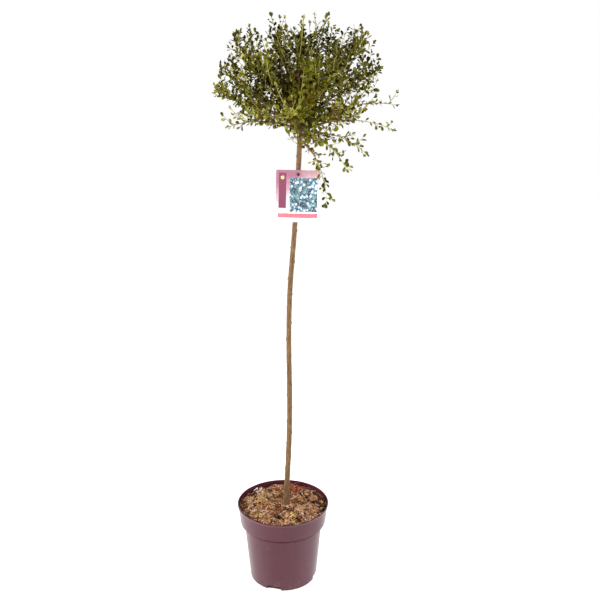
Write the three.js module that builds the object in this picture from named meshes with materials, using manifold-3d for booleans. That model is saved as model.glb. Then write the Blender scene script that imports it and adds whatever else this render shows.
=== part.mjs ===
// A small-leaved evergreen shrub grown as a standard: a slender stem with a loose round head of twigs and leaves,
// standing in a plastic nursery pot filled with fibrous potting mix, with a plain plant tag tied to its stem.
// Millimetres, +Z up. The origin is the middle of the pot's flat underside; +X is to the right of someone at -Y.

import * as THREE from "three";
import { mergeVertices } from "three/addons/utils/BufferGeometryUtils.js";
import Module from "manifold-3d";

const wasm = await Module();
wasm.setup();

const { Vector2, Vector3 } = THREE;
const UP = new Vector3(0, 0, 1);
const GAP = 0.3; // clearance between two solids that touch
const GOLDEN_TURN = THREE.MathUtils.degToRad(137.508);

// Driving dimensions

const POT = {
  height: 165,
  rimRadius: 95,
  collarFootRadius: 89.2,
  shoulderRadius: 81.5,
  shoulderHeight: 124.5,
  baseRadius: 70,
  baseEdge: 2.5,
  wall: 1.8,
  floor: 2.4,
  segments: 36,
};

const NOTCH = { count: 4, width: 29, height: 5.5, reach: 9, firstAzimuth: 255 };

const SOIL = {
  level: 157,
  relief: 1.1,
  waves: [
    [6.3, 7.1, 1],
    [3.4, -4.9, 0.6],
    [-2.9, 4.4, 0.4],
  ], // each an X and a Y pitch and a share of the relief
  flatRadius: 13,
  reliefRadius: 34,
  rings: 4,
  edgeGap: 1, // from the collar's inside at the soil's edge
};

// The stem's centre line, from the soil to just past the fork: it leans to the right and bows a little on the way.
const TRUNK = {
  line: [
    [6, 6, SOIL.level + GAP],
    [13, 4, 300],
    [14.5, 1, 400],
    [13.5, -2, 520],
    [16, -2, 620],
    [25, 0, 735],
    [32.5, 0, 850],
    [37, 0, 950],
  ],
  footRadius: 5.6,
  tipRadius: 4.6,
  flare: 3.6,
  flareHeight: 11,
  headSwell: 1.5,
  headSwellHeight: 24,
  steps: 24,
  crowding: 0.85,
  sides: 8,
};

const HEAD = {
  fork: 938, // height that every shoot's rise is counted from
  axis: [37, 0],
  lowestRoot: 900,
  highestRoot: 948,
  boughShare: 0.25, // how much of a shoot's curve is bare bough
  leaveSlope: [0.62, 24], // a shoot's first slope: a share of its whole slope, and degrees more
  pulls: [0.38, 0.34], // of its length, that its first and last slopes hold it straight for
  boughRadius: 2.5,
  shootTipRadius: 0.6,
  taper: 0.75,
  boughSides: 5,
  boughSteps: 3,
  stemSteps: 5,
  places: 16, // points that stand for a shoot's curve where distances are measured
  trunkPlaces: 24,
};

// The head's clipped outline: a rounded block that ordinary twigs stay inside.
const OUTLINE = {
  centre: [43, 0, 1030],
  halfWidth: 139,
  halfHeight: 90,
  power: 2.7,
};

// One row for each shoot: where its tip stands round the stem (0 is +X, 270 is the front), how far above the fork it
// rises, how far it reaches from the stem, the slope it ends with, and the lengths of its longest side twigs and of
// its leaves.
const SHOOTS = [
  ["top_left", 166, 185, 55, 72, 70, 27],
  ["top_right", 350, 182, 48, 68, 70, 27],
  ["top_back", 80, 157, 49, 55, 66, 27],
  ["top_front", 262, 140, 56, 45, 66, 27],
  ["upper_right", 338, 140, 112, 60, 76, 27],
  ["upper_left", 184, 150, 118, 72, 76, 27],
  ["upper_back_right", 44, 120, 114, 45, 74, 27],
  ["upper_back_left", 124, 122, 116, 45, 74, 27],
  ["front_left", 226, 88, 119, 30, 76, 27],
  ["front_right", 298, 87, 119, 25, 76, 27],
  ["left_shoulder", 172, 94, 145, 50, 66, 27],
  ["right_shoulder", 8, 91, 139, 35, 66, 27],
  ["left", 196, 47, 156, 20, 66, 27],
  ["right", 352, 30, 172, -10, 66, 27],
  ["back", 90, 55, 136, 5, 74, 27],
  ["low_left", 208, -8, 142, -16, 54, 27],
  ["low_right", 338, -13, 174, -22, 50, 27],
  ["low_back_left", 148, 17, 140, 5, 62, 27],
  ["low_back_right", 38, 14, 138, 0, 62, 27],
  ["low_front", 258, 16, 108, 0, 52, 27],
  ["droop_right", 328, -54, 135, -38, 40, 20],
  ["droop_front", 308, -79, 128, -50, 38, 20],
  ["trail_front", 300, -142, 92, -88, 18, 20],
].map(([name, azimuth, rise, reach, endSlope, twigLength, leafLength]) => ({
  name,
  azimuth,
  rise,
  reach,
  endSlope,
  twigLength,
  leafLength,
}));

const TWIGS = {
  perShoot: 6,
  firstPlace: 0.06, // of the leafy stem, from the bough's tip
  lastPlace: 0.9,
  angle: 50,
  angleSpread: 14,
  stretch: [0.75, 1.15],
  shortening: 0.45, // towards the shoot's tip
  overreach: 0.04, // how far a twig may pass the outline where its root is outside it
  cutBack: 0.85,
  shortest: 10,
  tested: [0.35, 0.7, 1], // its places that have to keep to the shoot's space
  lift: 0.28, // how strongly a twig turns up
  rootRadius: 0.75,
  rootShare: 0.8, // of the stem's radius where the twig leaves it, at most
  tipRadius: 0.4,
  steps: 2,
  attempts: 5,
  turnStep: 0.35,
};

const LEAVES = {
  lengthSpread: 0.2,
  tipShare: 0.6, // of a leaf's length, for the one that ends a twig
  widthShare: 0.76,
  widest: 0.55, // of its length, from its root
  foldShare: 0.05,
  onTwigs: { spacing: 11, from: 0.2 },
  onStem: { spacing: 12, from: 0.12 },
  firstStep: 0.4, // of the spacing, before the first leaf
  tipRoot: 2, // before the twig's end, where the leaf that ends it is rooted
  angle: 52,
  tipAngle: 20, // turned off a twig's own direction at each further try for its last leaf
  attempts: 6,
  turnStep: 0.72,
  lookBelow: 60, // leaves face away from a point this far below the outline's centre
  outward: 0.7,
  upward: 0.6,
  tilt: 0.55,
};

const SPACE = {
  margin: 1.2, // half the least difference between a point's distances to its own shoot and to another
  limbClearance: 1,
  tagDepth: 6, // half the depth of the block that the tag takes up
  tagClearance: 4,
  cornerGap: 0.002,
};

const SEEDS = { twigs: [100, 31], leaves: [2000, 17] }; // the first shoot's, and the step to the next

const TAG = {
  width: 83,
  height: 97,
  thickness: 0.6,
  cornerRadius: 3,
  holeRadius: 3,
  holeDrop: 8.5, // from the card's top edge to the hole's centre
  holeAt: [32.5, -8.2, 842.5],
  roll: 1.2,
  pitch: -1.5,
  arcSteps: 6,
};

const TIE = {
  radius: 0.7,
  stemRadius: 4.9, // of the stem where the tie goes round it
  climb: 3, // from the card's hole up to the turn behind the stem
  climbShares: [0.7, 0.15], // of the climb that is left in front of the stem and behind the card
  drop: 1.3, // of the wire's middle below the top of the card's hole
  halfGap: 0.95, // between the two sides' middles and the card's middle line
  neck: 1.3, // behind the card, where the two sides come together
  noseReach: 2.3, // in front of the card
  knot: [3.4, 1.4, 1.7],
  knotFaces: [8, 6],
  steps: 26,
  sides: 5,
};

const MATERIALS = {
  pot: paint(0x724c57, 0.42),
  soil: paint(0x8a6243, 0.95),
  trunk: paint(0x6f5c3a, 0.8),
  bough: paint(0x7a5636, 0.75),
  foliage: paint(0x4d6128, 0.5),
  card: paint(0xd9a3bd, 0.5),
  tie: paint(0x262626, 0.6),
};

// Small helpers

function paint(color, roughness) {
  return new THREE.MeshStandardMaterial({ color, roughness, metalness: 0 });
}

const radians = THREE.MathUtils.degToRad;
const mix = THREE.MathUtils.lerp;
const smooth = (x, low, high) => THREE.MathUtils.smoothstep(x, low, high);

// A seeded row of numbers from 0 to 1.
function dice(seed) {
  const modulus = 2147483647;
  const multiplier = 48271;
  const [spread, offset, warmUp] = [7919, 12345, 6];
  let state = (seed * spread + offset) % modulus;
  const roll = () => {
    state = (state * multiplier) % modulus;
    return state / modulus;
  };
  for (let i = 0; i < warmUp; i++) roll();
  return roll;
}

const seedFor = ([first, step], shoot) => first + step * shoot.number;

// A closed geometry as a solid that can be cut and joined.
function solidOf(geometry) {
  const bare = geometry.index ? geometry.toNonIndexed() : geometry.clone();
  bare.deleteAttribute("normal");
  bare.deleteAttribute("uv");
  const merged = mergeVertices(bare, 1e-4);
  return new wasm.Manifold(
    new wasm.Mesh({
      numProp: 3,
      vertProperties: merged.attributes.position.array,
      triVerts: new Uint32Array(merged.index.array),
    }),
  );
}

// A solid as a named three.js mesh.
function meshOf(solid, name, material) {
  const { vertProperties, triVerts } = solid.getMesh();
  const geometry = new THREE.BufferGeometry();
  geometry.setAttribute("position", new THREE.BufferAttribute(vertProperties, 3));
  geometry.setIndex(new THREE.BufferAttribute(triVerts, 1));
  geometry.computeVertexNormals();
  const mesh = new THREE.Mesh(geometry, material);
  mesh.name = name;
  return mesh;
}

function geometryFrom(points, faces) {
  const geometry = new THREE.BufferGeometry().setFromPoints(points);
  geometry.setIndex(faces.flat());
  return geometry;
}

// Two directions square to a tangent, the first of them level.
function squareTo(tangent) {
  const level = new Vector3().crossVectors(tangent, UP);
  if (level.length() < 0.05) level.set(1, 0, 0).cross(tangent);
  level.normalize();
  return [level, new Vector3().crossVectors(level, tangent).normalize()];
}

// The chords of a curve between its places t0 and t1: where a limb's rings stand and its leaves root.
function chordsOf(curve, steps, t0 = 0, t1 = 1, place = (share) => share) {
  return Array.from({ length: steps + 1 }, (_, i) => {
    const t = mix(t0, t1, place(i / steps));
    return { t, point: curve.getPoint(t), tangent: curve.getTangent(t) };
  });
}

// The point and direction on a chord line at curve place t.
function onChords(chords, t) {
  const beyond = chords.findIndex((c) => c.t > t);
  const i = beyond < 0 ? chords.length - 1 : Math.max(1, beyond);
  const [a, b] = [chords[i - 1], chords[i]];
  const share = (t - a.t) / (b.t - a.t);
  return {
    point: a.point.clone().lerp(b.point, share),
    tangent: b.point.clone().sub(a.point).normalize(),
  };
}

// A round tapering bar along a chord line, with flat ends. grow swells it, and turn sets its first corner.
function limb(chords, radiusAt, sides, { grow = 0, turn = 0 } = {}) {
  const steps = chords.length - 1;
  const points = [];
  const faces = [];
  let [across, over] = squareTo(chords[0].tangent);
  chords.forEach(({ t, point, tangent }, i) => {
    across.addScaledVector(tangent, -across.dot(tangent)).normalize();
    over = new Vector3().crossVectors(across, tangent);
    const end = i === 0 ? -grow : i === steps ? grow : 0;
    const centre = point.clone().addScaledVector(tangent, end);
    const radius = radiusAt(t) + grow;
    for (let k = 0; k < sides; k++) {
      const angle = turn + (2 * Math.PI * k) / sides;
      points.push(
        centre
          .clone()
          .addScaledVector(across, radius * Math.cos(angle))
          .addScaledVector(over, radius * Math.sin(angle)),
      );
    }
  });
  for (let i = 0; i < steps; i++)
    for (let k = 0; k < sides; k++) {
      const a = i * sides + k;
      const b = i * sides + ((k + 1) % sides);
      faces.push([a, a + sides, b], [b, a + sides, b + sides]);
    }
  const last = steps * sides;
  for (let k = 1; k < sides - 1; k++) {
    faces.push([0, k, k + 1]);
    faces.push([last, last + k + 1, last + k]);
  }
  return solidOf(geometryFrom(points, faces));
}

// A solid turned about +Z from a profile of [radius, height] points that starts and ends on the axis.
function turned(profile, segments = POT.segments) {
  const geometry = new THREE.LatheGeometry(
    profile.map(([r, z]) => new Vector2(r, z)),
    segments,
  );
  return geometry.rotateX(Math.PI / 2);
}

// Pot

function pot() {
  const { wall } = POT;
  const shoulderTop = POT.shoulderHeight + wall;
  const shell = solidOf(
    turned([
      [0, 0],
      [POT.baseRadius - POT.baseEdge, 0],
      [POT.baseRadius, POT.baseEdge],
      [POT.shoulderRadius, POT.shoulderHeight],
      [POT.collarFootRadius, POT.shoulderHeight],
      [POT.rimRadius, POT.height],
      [POT.rimRadius - wall, POT.height],
      [POT.collarFootRadius - wall, shoulderTop],
      [POT.shoulderRadius - wall, shoulderTop],
      [POT.baseRadius - wall, POT.floor],
      [0, POT.floor],
    ]),
  );
  const notches = Array.from({ length: NOTCH.count }, (_, i) => {
    const turn = radians(NOTCH.firstAzimuth + (360 * i) / NOTCH.count);
    const cutter = new THREE.BoxGeometry(2 * NOTCH.reach, NOTCH.width, 2 * NOTCH.height);
    cutter.translate(POT.baseRadius, 0, 0).rotateZ(turn);
    return solidOf(cutter);
  });
  return notches.reduce((body, notch) => body.subtract(notch), shell);
}

// Potting mix: it fills the pot to the soil level, and its top is uneven away from the stem's foot.

function soilRelief(x, y) {
  const [footX, footY] = TRUNK.line[0];
  const away = Math.hypot(x - footX, y - footY);
  const wave = ([pitchX, pitchY, share]) => share * Math.sin(x / pitchX + y / pitchY);
  const height = SOIL.waves.reduce((sum, row) => sum + wave(row), 0);
  return SOIL.relief * height * smooth(away, SOIL.flatRadius, SOIL.reliefRadius);
}

function collarInside(z) {
  const share = (z - POT.shoulderHeight) / (POT.height - POT.shoulderHeight);
  return mix(POT.collarFootRadius, POT.rimRadius, share) - POT.wall - GAP;
}

function pottingMix() {
  const ledge = POT.shoulderHeight + POT.wall + GAP;
  const edge = collarInside(SOIL.level) - SOIL.edgeGap;
  const profile = [
    [0, POT.floor + GAP],
    [POT.baseRadius - POT.wall - GAP, POT.floor + GAP],
    [POT.shoulderRadius - POT.wall - GAP, ledge],
    [collarInside(ledge), ledge],
  ];
  for (let i = 0; i <= SOIL.rings; i++) profile.push([edge * (1 - i / SOIL.rings), SOIL.level]);
  const geometry = turned(profile);
  const position = geometry.attributes.position;
  for (let i = 0; i < position.count; i++) {
    const [x, y, z] = new Vector3().fromBufferAttribute(position, i);
    if (z > SOIL.level - GAP) position.setZ(i, z + soilRelief(x, y));
  }
  return solidOf(geometry);
}

// Stem

const trunkCurve = new THREE.CatmullRomCurve3(
  TRUNK.line.map((p) => new Vector3(...p)),
  false,
  "catmullrom",
  0.5,
);

function trunkRadius(t) {
  const height = trunkCurve.getPoint(t).z - SOIL.level;
  const fromHead = (HEAD.fork - SOIL.level - height) / TRUNK.headSwellHeight;
  return (
    mix(TRUNK.footRadius, TRUNK.tipRadius, t) +
    TRUNK.flare * Math.exp(-height / TRUNK.flareHeight) +
    TRUNK.headSwell * Math.exp(-fromHead * fromHead)
  );
}

// Steps stand closer at the flared foot and at the fork than along the stem.
const closerAtEnds = (share) => share - (TRUNK.crowding * Math.sin(2 * Math.PI * share)) / (2 * Math.PI);

function trunk(grow = 0) {
  const chords = chordsOf(trunkCurve, TRUNK.steps, 0, 1, closerAtEnds);
  const solid = limb(chords, trunkRadius, TRUNK.sides, { grow });
  // The foot is cut level with the ground.
  return solid.trimByPlane([0, 0, 1], SOIL.level + GAP - grow);
}

// Shoots: each is one curve, bare bough first and leafy stem after it

function shootCurve({ azimuth, rise, reach, endSlope }) {
  const out = new Vector3(Math.cos(radians(azimuth)), Math.sin(radians(azimuth)), 0);
  const slope = Math.atan2(rise, reach);
  const [x, y] = HEAD.axis;
  const tip = new Vector3(x, y, HEAD.fork + rise).addScaledVector(out, reach);
  const rootHeight = mix(HEAD.lowestRoot, HEAD.highestRoot, 0.5 + 0.5 * Math.sin(slope));
  const root = trunkPointAt(rootHeight);
  const length = root.distanceTo(tip);
  const leave = HEAD.leaveSlope[0] * slope + radians(HEAD.leaveSlope[1]);
  const arrive = radians(endSlope);
  const heading = (angle) => out.clone().multiplyScalar(Math.cos(angle)).addScaledVector(UP, Math.sin(angle));
  return new THREE.CubicBezierCurve3(
    root,
    root.clone().addScaledVector(heading(leave), HEAD.pulls[0] * length),
    tip.clone().addScaledVector(heading(arrive), -HEAD.pulls[1] * length),
    tip,
  );
}

// The point of the stem's centre line at a height, by halving.
function trunkPointAt(height) {
  const halvings = 30;
  let low = 0;
  let high = 1;
  for (let i = 0; i < halvings; i++) {
    const middle = (low + high) / 2;
    if (trunkCurve.getPoint(middle).z < height) low = middle;
    else high = middle;
  }
  return trunkCurve.getPoint(low);
}

const shootRadius = (t) => mix(HEAD.boughRadius, HEAD.shootTipRadius, Math.pow(t, HEAD.taper));

const shoots = SHOOTS.map((shoot, number) => {
  const curve = shootCurve(shoot);
  const length = curve.getLength();
  const stemStart = HEAD.boughShare + GAP / length;
  return {
    ...shoot,
    number,
    length,
    bough: chordsOf(curve, HEAD.boughSteps, 0, HEAD.boughShare),
    stem: chordsOf(curve, HEAD.stemSteps, stemStart, 1),
    places: curve.getPoints(HEAD.places),
  };
});

function bough(shoot, grow = 0) {
  return limb(shoot.bough, shootRadius, HEAD.boughSides, { grow });
}

function largest(solid) {
  return solid.decompose().sort((a, b) => b.volume() - a.volume())[0];
}

// The space that each shoot's foliage keeps to

const segment = new THREE.Line3();
const nearest = new Vector3();

function distanceTo(path, point) {
  let least = Infinity;
  for (let i = 0; i + 1 < path.length; i++) {
    segment.set(path[i], path[i + 1]).closestPointToPoint(point, true, nearest);
    least = Math.min(least, nearest.distanceTo(point));
  }
  return least;
}

const trunkPlaces = trunkCurve.getPoints(HEAD.trunkPlaces);

function outlineReach(point) {
  const [x, y, z] = OUTLINE.centre;
  const level = Math.hypot(point.x - x, point.y - y) / OUTLINE.halfWidth;
  const height = Math.abs(point.z - z) / OUTLINE.halfHeight;
  return Math.pow(Math.pow(level, OUTLINE.power) + Math.pow(height, OUTLINE.power), 1 / OUTLINE.power);
}

function clearOfTag(point) {
  const [x, y, z] = TAG.holeAt;
  const across = Math.abs(point.x - x) - TAG.width / 2;
  const deep = Math.abs(point.y - y) - SPACE.tagDepth;
  const high = Math.abs(point.z - (z + TAG.holeDrop - TAG.height / 2)) - TAG.height / 2;
  return Math.max(across, deep, high) > SPACE.tagClearance;
}

// True where a point is nearer to its own shoot than to any other, and clear of every bough, the stem and the tag.
function inOwnSpace(shoot, point) {
  const own = distanceTo(shoot.places, point);
  const boughPlaces = shoot.places.slice(0, Math.ceil(HEAD.boughShare * HEAD.places) + 1);
  if (distanceTo(boughPlaces, point) < HEAD.boughRadius + SPACE.limbClearance) return false;
  for (const other of shoots)
    if (other !== shoot) {
      const away = distanceTo(other.places, point);
      if (away < own + 2 * SPACE.margin || away < HEAD.boughRadius + SPACE.limbClearance) return false;
    }
  if (distanceTo(trunkPlaces, point) < TRUNK.footRadius + 2 * SPACE.limbClearance) return false;
  return clearOfTag(point);
}

// Side twigs of a shoot, as curves, from its own row of seeded numbers

function turnedFrom(tangent, angle, roll) {
  const [across, over] = squareTo(tangent);
  return tangent
    .clone()
    .multiplyScalar(Math.cos(angle))
    .addScaledVector(across, Math.sin(angle) * Math.cos(roll))
    .addScaledVector(over, Math.sin(angle) * Math.sin(roll))
    .normalize();
}

function sideTwigs(shoot) {
  const roll = dice(seedFor(SEEDS.twigs, shoot));
  const first = 2 * Math.PI * roll();
  const twigs = [];
  for (let k = 0; k < TWIGS.perShoot; k++) {
    const share = mix(TWIGS.firstPlace, TWIGS.lastPlace, k / (TWIGS.perShoot - 1));
    const t = mix(HEAD.boughShare, 1, share);
    const angle = radians(TWIGS.angle + TWIGS.angleSpread * (roll() - 0.5));
    const stretch = mix(...TWIGS.stretch, roll());
    const { point: root, tangent } = onChords(shoot.stem, t);
    const heading = turnedFrom(tangent, angle, first + k * GOLDEN_TURN);
    let length = shoot.twigLength * (1 - TWIGS.shortening * share) * stretch;
    let curve = twigCurve(root, heading, length);
    const limit = Math.max(1, outlineReach(root) + TWIGS.overreach);
    while (length > TWIGS.shortest && outlineReach(curve.v2) > limit) {
      length *= TWIGS.cutBack;
      curve = twigCurve(root, heading, length);
    }
    twigs.push({ curve, length, rootRadius: Math.min(TWIGS.rootRadius, TWIGS.rootShare * shootRadius(t)) });
  }
  return twigs;
}

function twigCurve(root, heading, length) {
  const lifted = heading.clone().addScaledVector(UP, TWIGS.lift).normalize();
  return new THREE.QuadraticBezierCurve3(
    root,
    root.clone().addScaledVector(heading, length * 0.5),
    root.clone().addScaledVector(lifted, length),
  );
}

// Leaves: a lozenge folded up along its midrib and closed across its top

function leafCorners(root, heading, face, length) {
  const side = new Vector3().crossVectors(heading, face).normalize();
  const halfWidth = 0.5 * LEAVES.widthShare * length;
  const fold = LEAVES.foldShare * length;
  const at = (along, across, above) =>
    root.clone().addScaledVector(heading, along).addScaledVector(side, across).addScaledVector(face, above);
  const widest = LEAVES.widest * length;
  return [root, at(widest, halfWidth, fold), at(length, 0, 0), at(widest, -halfWidth, fold)];
}

const LEAF_FACES = [
  [0, 1, 3],
  [1, 2, 3],
  [0, 2, 1],
  [0, 3, 2],
];

function leafFace(root, heading, roll) {
  const [x, y, z] = OUTLINE.centre;
  const outward = root.clone().sub(new Vector3(x, y, z - LEAVES.lookBelow)).normalize();
  const face = outward.multiplyScalar(LEAVES.outward).addScaledVector(UP, LEAVES.upward);
  face.x += LEAVES.tilt * (2 * roll() - 1);
  face.y += LEAVES.tilt * (2 * roll() - 1);
  face.z += LEAVES.tilt * (2 * roll() - 1);
  return face.addScaledVector(heading, -face.dot(heading)).normalize();
}

function leafFits(shoot, corners) {
  const [, left, tip, right] = corners;
  const halfway = (a, b) => a.clone().lerp(b, 0.5);
  const tested = [left, tip, right, halfway(left, tip), halfway(right, tip)];
  return tested.every((p) => inOwnSpace(shoot, p));
}

// True where no two corners of a solid are so close together that they would run into one.
function hasClearCorners(solid) {
  const { vertProperties, numVert } = solid.getMesh();
  const seen = new Set();
  for (let i = 0; i < numVert; i++) {
    const corner = vertProperties.subarray(3 * i, 3 * i + 3);
    seen.add(Array.from(corner, (v) => Math.round(v / SPACE.cornerGap)).join());
  }
  return seen.size === numVert;
}

// The places of a twig's leaves, each with its size; the last leaf ends the twig.
function leafSites(twig, { spacing, from }, leafLength, roll) {
  const count = Math.max(1, Math.floor((twig.length * (1 - from)) / spacing));
  const start = 2 * Math.PI * roll();
  return Array.from({ length: count + 1 }, (_, j) => {
    const isLast = j === count;
    const end = 1 - LEAVES.tipRoot / twig.length;
    const share = mix(from, end, (j + LEAVES.firstStep) / (count + LEAVES.firstStep));
    return {
      ...onChords(twig.chords, mix(twig.chords[0].t, twig.chords.at(-1).t, share)),
      turn: start + j * GOLDEN_TURN,
      size: leafLength * (isLast ? LEAVES.tipShare : 1 + LEAVES.lengthSpread * (roll() - 0.5)),
      angle: (attempt) => radians(isLast ? LEAVES.tipAngle * attempt : LEAVES.angle),
    };
  });
}

// A leaf at a site, tried at a few turns round its twig until it keeps to the space and meets only that twig.
function leafAt(site, shoot, obstacles, roll) {
  for (let attempt = 0; attempt < LEAVES.attempts; attempt++) {
    const turn = site.turn + LEAVES.turnStep * attempt;
    const heading = turnedFrom(site.tangent, site.angle(attempt), turn);
    const corners = leafCorners(site.point, heading, leafFace(site.point, heading, roll), site.size);
    if (!leafFits(shoot, corners)) continue;
    const leaf = solidOf(geometryFrom(corners, LEAF_FACES));
    if (obstacles.every((obstacle) => leaf.intersect(obstacle).isEmpty())) return leaf;
  }
  return null;
}

// A twig's bar, tried at a few turns until it joins the mass with clear corners; null where none does.
function twigOn(mass, twig) {
  const radius = (t) => mix(twig.rootRadius, TWIGS.tipRadius, t);
  for (let attempt = 0; attempt < TWIGS.attempts; attempt++) {
    const bar = limb(twig.chords, radius, 3, { turn: attempt * TWIGS.turnStep });
    if (hasClearCorners(mass.add(bar))) return bar;
  }
  return null;
}

function foliage(shoot) {
  const roll = dice(seedFor(SEEDS.leaves, shoot));
  const stem = {
    chords: shoot.stem,
    length: shoot.length * (1 - HEAD.boughShare),
    rule: LEAVES.onStem,
    bar: limb(shoot.stem, shootRadius, 3),
  };
  let mass = stem.bar;
  const limbs = [stem];
  for (const twig of sideTwigs(shoot)) {
    const chords = chordsOf(twig.curve, TWIGS.steps);
    if (!TWIGS.tested.every((t) => inOwnSpace(shoot, onChords(chords, t).point))) continue;
    const bar = twigOn(mass, { ...twig, chords });
    if (!bar) continue;
    limbs.push({ chords, length: twig.length, rule: LEAVES.onTwigs, bar });
    mass = mass.add(bar);
  }
  const leaves = [];
  for (const twig of limbs) {
    const others = limbs.filter((other) => other !== twig).map((other) => other.bar);
    for (const site of leafSites(twig, twig.rule, shoot.leafLength, roll)) {
      const leaf = leafAt(site, shoot, [...others, ...leaves], roll);
      const grown = leaf && mass.add(leaf);
      if (!grown || !hasClearCorners(grown)) continue;
      leaves.push(leaf);
      mass = grown;
    }
  }
  return largest(mass);
}

// Plant tag: a card that hangs from a wire tie round the stem

function tagCard() {
  const { width, height, cornerRadius: r, holeDrop, holeRadius, thickness } = TAG;
  const top = holeDrop;
  const bottom = holeDrop - height;
  const shape = new THREE.Shape();
  shape.moveTo(-width / 2 + r, bottom);
  shape.absarc(width / 2 - r, bottom + r, r, -Math.PI / 2, 0, false);
  shape.absarc(width / 2 - r, top - r, r, 0, Math.PI / 2, false);
  shape.absarc(-width / 2 + r, top - r, r, Math.PI / 2, Math.PI, false);
  shape.absarc(-width / 2 + r, bottom + r, r, Math.PI, 1.5 * Math.PI, false);
  shape.holes.push(new THREE.Path().absarc(0, 0, holeRadius, 0, 2 * Math.PI, true));
  const card = new THREE.ExtrudeGeometry(shape, {
    depth: thickness,
    bevelEnabled: false,
    curveSegments: TAG.arcSteps,
  });
  card
    .translate(0, 0, -thickness / 2)
    .rotateX(Math.PI / 2 + radians(TAG.pitch))
    .rotateY(radians(TAG.roll))
    .translate(...TAG.holeAt);
  return solidOf(card);
}

// The tie is a closed loop: round behind the stem, then both sides run forward through the top of the card's hole.
function tieLine() {
  const [x, y, z] = TAG.holeAt;
  const stem = trunkPointAt(z + TIE.climb);
  const around = TIE.stemRadius + GAP + TIE.radius;
  const slant = Math.SQRT1_2 * around;
  const { halfGap, noseReach } = TIE;
  const height = z + TAG.holeRadius - TIE.drop;
  const rightSide = [
    [slant, slant, TIE.climb],
    [around, 0, TIE.climb],
    [slant, -slant, TIE.climb * TIE.climbShares[0]],
    [halfGap, y - stem.y + TIE.neck, TIE.climb * TIE.climbShares[1]],
    [halfGap, y - stem.y, 0],
    [halfGap, y - stem.y - noseReach + halfGap, 0],
  ];
  const at = ([across, along, up]) => new Vector3(stem.x + across, stem.y + along, height + up);
  const leftSide = rightSide.map(([across, ...rest]) => [-across, ...rest]).reverse();
  return [
    at([0, around, TIE.climb]),
    ...rightSide.map(at),
    at([0, y - stem.y - noseReach, 0]),
    ...leftSide.map(at),
  ];
}

function tagTie() {
  const line = tieLine();
  const loop = new THREE.CatmullRomCurve3(line, true, "centripetal");
  const count = TIE.steps * TIE.sides;
  const corners = [];
  const faces = [];
  for (let i = 0; i < TIE.steps; i++) {
    const tangent = loop.getTangent(i / TIE.steps);
    const [across, over] = squareTo(tangent);
    for (let k = 0; k < TIE.sides; k++) {
      const turn = (2 * Math.PI * k) / TIE.sides;
      const corner = loop.getPoint(i / TIE.steps);
      corner.addScaledVector(across, TIE.radius * Math.cos(turn));
      corners.push(corner.addScaledVector(over, TIE.radius * Math.sin(turn)));
      const a = i * TIE.sides + k;
      const b = i * TIE.sides + ((k + 1) % TIE.sides);
      const [nextA, nextB] = [(a + TIE.sides) % count, (b + TIE.sides) % count];
      faces.push([a, nextA, b], [b, nextA, nextB]);
    }
  }
  const nose = line[line.length / 2];
  const knot = new THREE.SphereGeometry(1, ...TIE.knotFaces);
  knot.scale(...TIE.knot).translate(nose.x, nose.y, nose.z);
  return solidOf(geometryFrom(corners, faces)).add(solidOf(knot));
}

// The whole plant

const plant = new THREE.Group();
plant.add(meshOf(pot(), "pot", MATERIALS.pot));
plant.add(meshOf(pottingMix(), "potting_mix", MATERIALS.soil));
plant.add(meshOf(trunk(), "trunk", MATERIALS.trunk));

// Each bough starts where it leaves the stem or a bough that crosses its root.
let limbsSoFar = trunk(GAP);
for (const shoot of shoots) {
  const ownPart = largest(bough(shoot).subtract(limbsSoFar));
  limbsSoFar = limbsSoFar.add(bough(shoot, GAP));
  plant.add(meshOf(ownPart, `bough_${shoot.name}`, MATERIALS.bough));
  plant.add(meshOf(foliage(shoot), `foliage_${shoot.name}`, MATERIALS.foliage));
}
plant.add(meshOf(tagCard(), "tag_card", MATERIALS.card));
plant.add(meshOf(tagTie(), "tag_tie", MATERIALS.tie));

export default plant;
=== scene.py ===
"""Looks of a potted evergreen shrub grown as a standard.

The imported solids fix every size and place. Twigs and leaves grow by the rule of the solids, carried on to
finer twigs and leaves of real size. Sizes are in millimetres until a mesh is made, which is in metres.
"""

import math
from types import SimpleNamespace

import bpy
import numpy as np
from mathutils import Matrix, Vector, noise


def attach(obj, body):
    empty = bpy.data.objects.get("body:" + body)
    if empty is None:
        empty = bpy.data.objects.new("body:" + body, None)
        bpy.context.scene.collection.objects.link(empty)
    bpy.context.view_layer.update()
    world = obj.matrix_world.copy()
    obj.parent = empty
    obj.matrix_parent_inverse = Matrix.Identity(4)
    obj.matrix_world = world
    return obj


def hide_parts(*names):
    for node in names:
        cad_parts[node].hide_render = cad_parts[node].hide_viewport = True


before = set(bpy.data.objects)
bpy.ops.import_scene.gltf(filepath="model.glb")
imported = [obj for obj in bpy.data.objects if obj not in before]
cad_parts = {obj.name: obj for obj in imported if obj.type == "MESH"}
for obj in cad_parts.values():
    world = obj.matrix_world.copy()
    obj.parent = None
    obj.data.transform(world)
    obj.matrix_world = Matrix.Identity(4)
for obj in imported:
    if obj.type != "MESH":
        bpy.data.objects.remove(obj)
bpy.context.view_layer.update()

MM = 0.001
UP = np.array([0.0, 0.0, 1.0])
GAP = 0.3  # left between two solids that meet
GOLDEN_TURN = math.radians(137.508)

# Sizes of the solids, and how finely they are drawn here

POT = SimpleNamespace(
    height=165,
    rim=95,
    collar_foot=89.2,
    shoulder=81.5,
    shoulder_height=124.5,
    base=70,
    base_edge=2.5,
    step_rounds=(1.2, 0.9),  # in the corner under the collar, and on the collar's lower edge
    wall=1.8,
    floor=2.4,
    bead=(3.4, 1.5),  # the height of the bead at the rim, and how far it stands out
    segments=144,
    sharp_angle=38,
)

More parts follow.
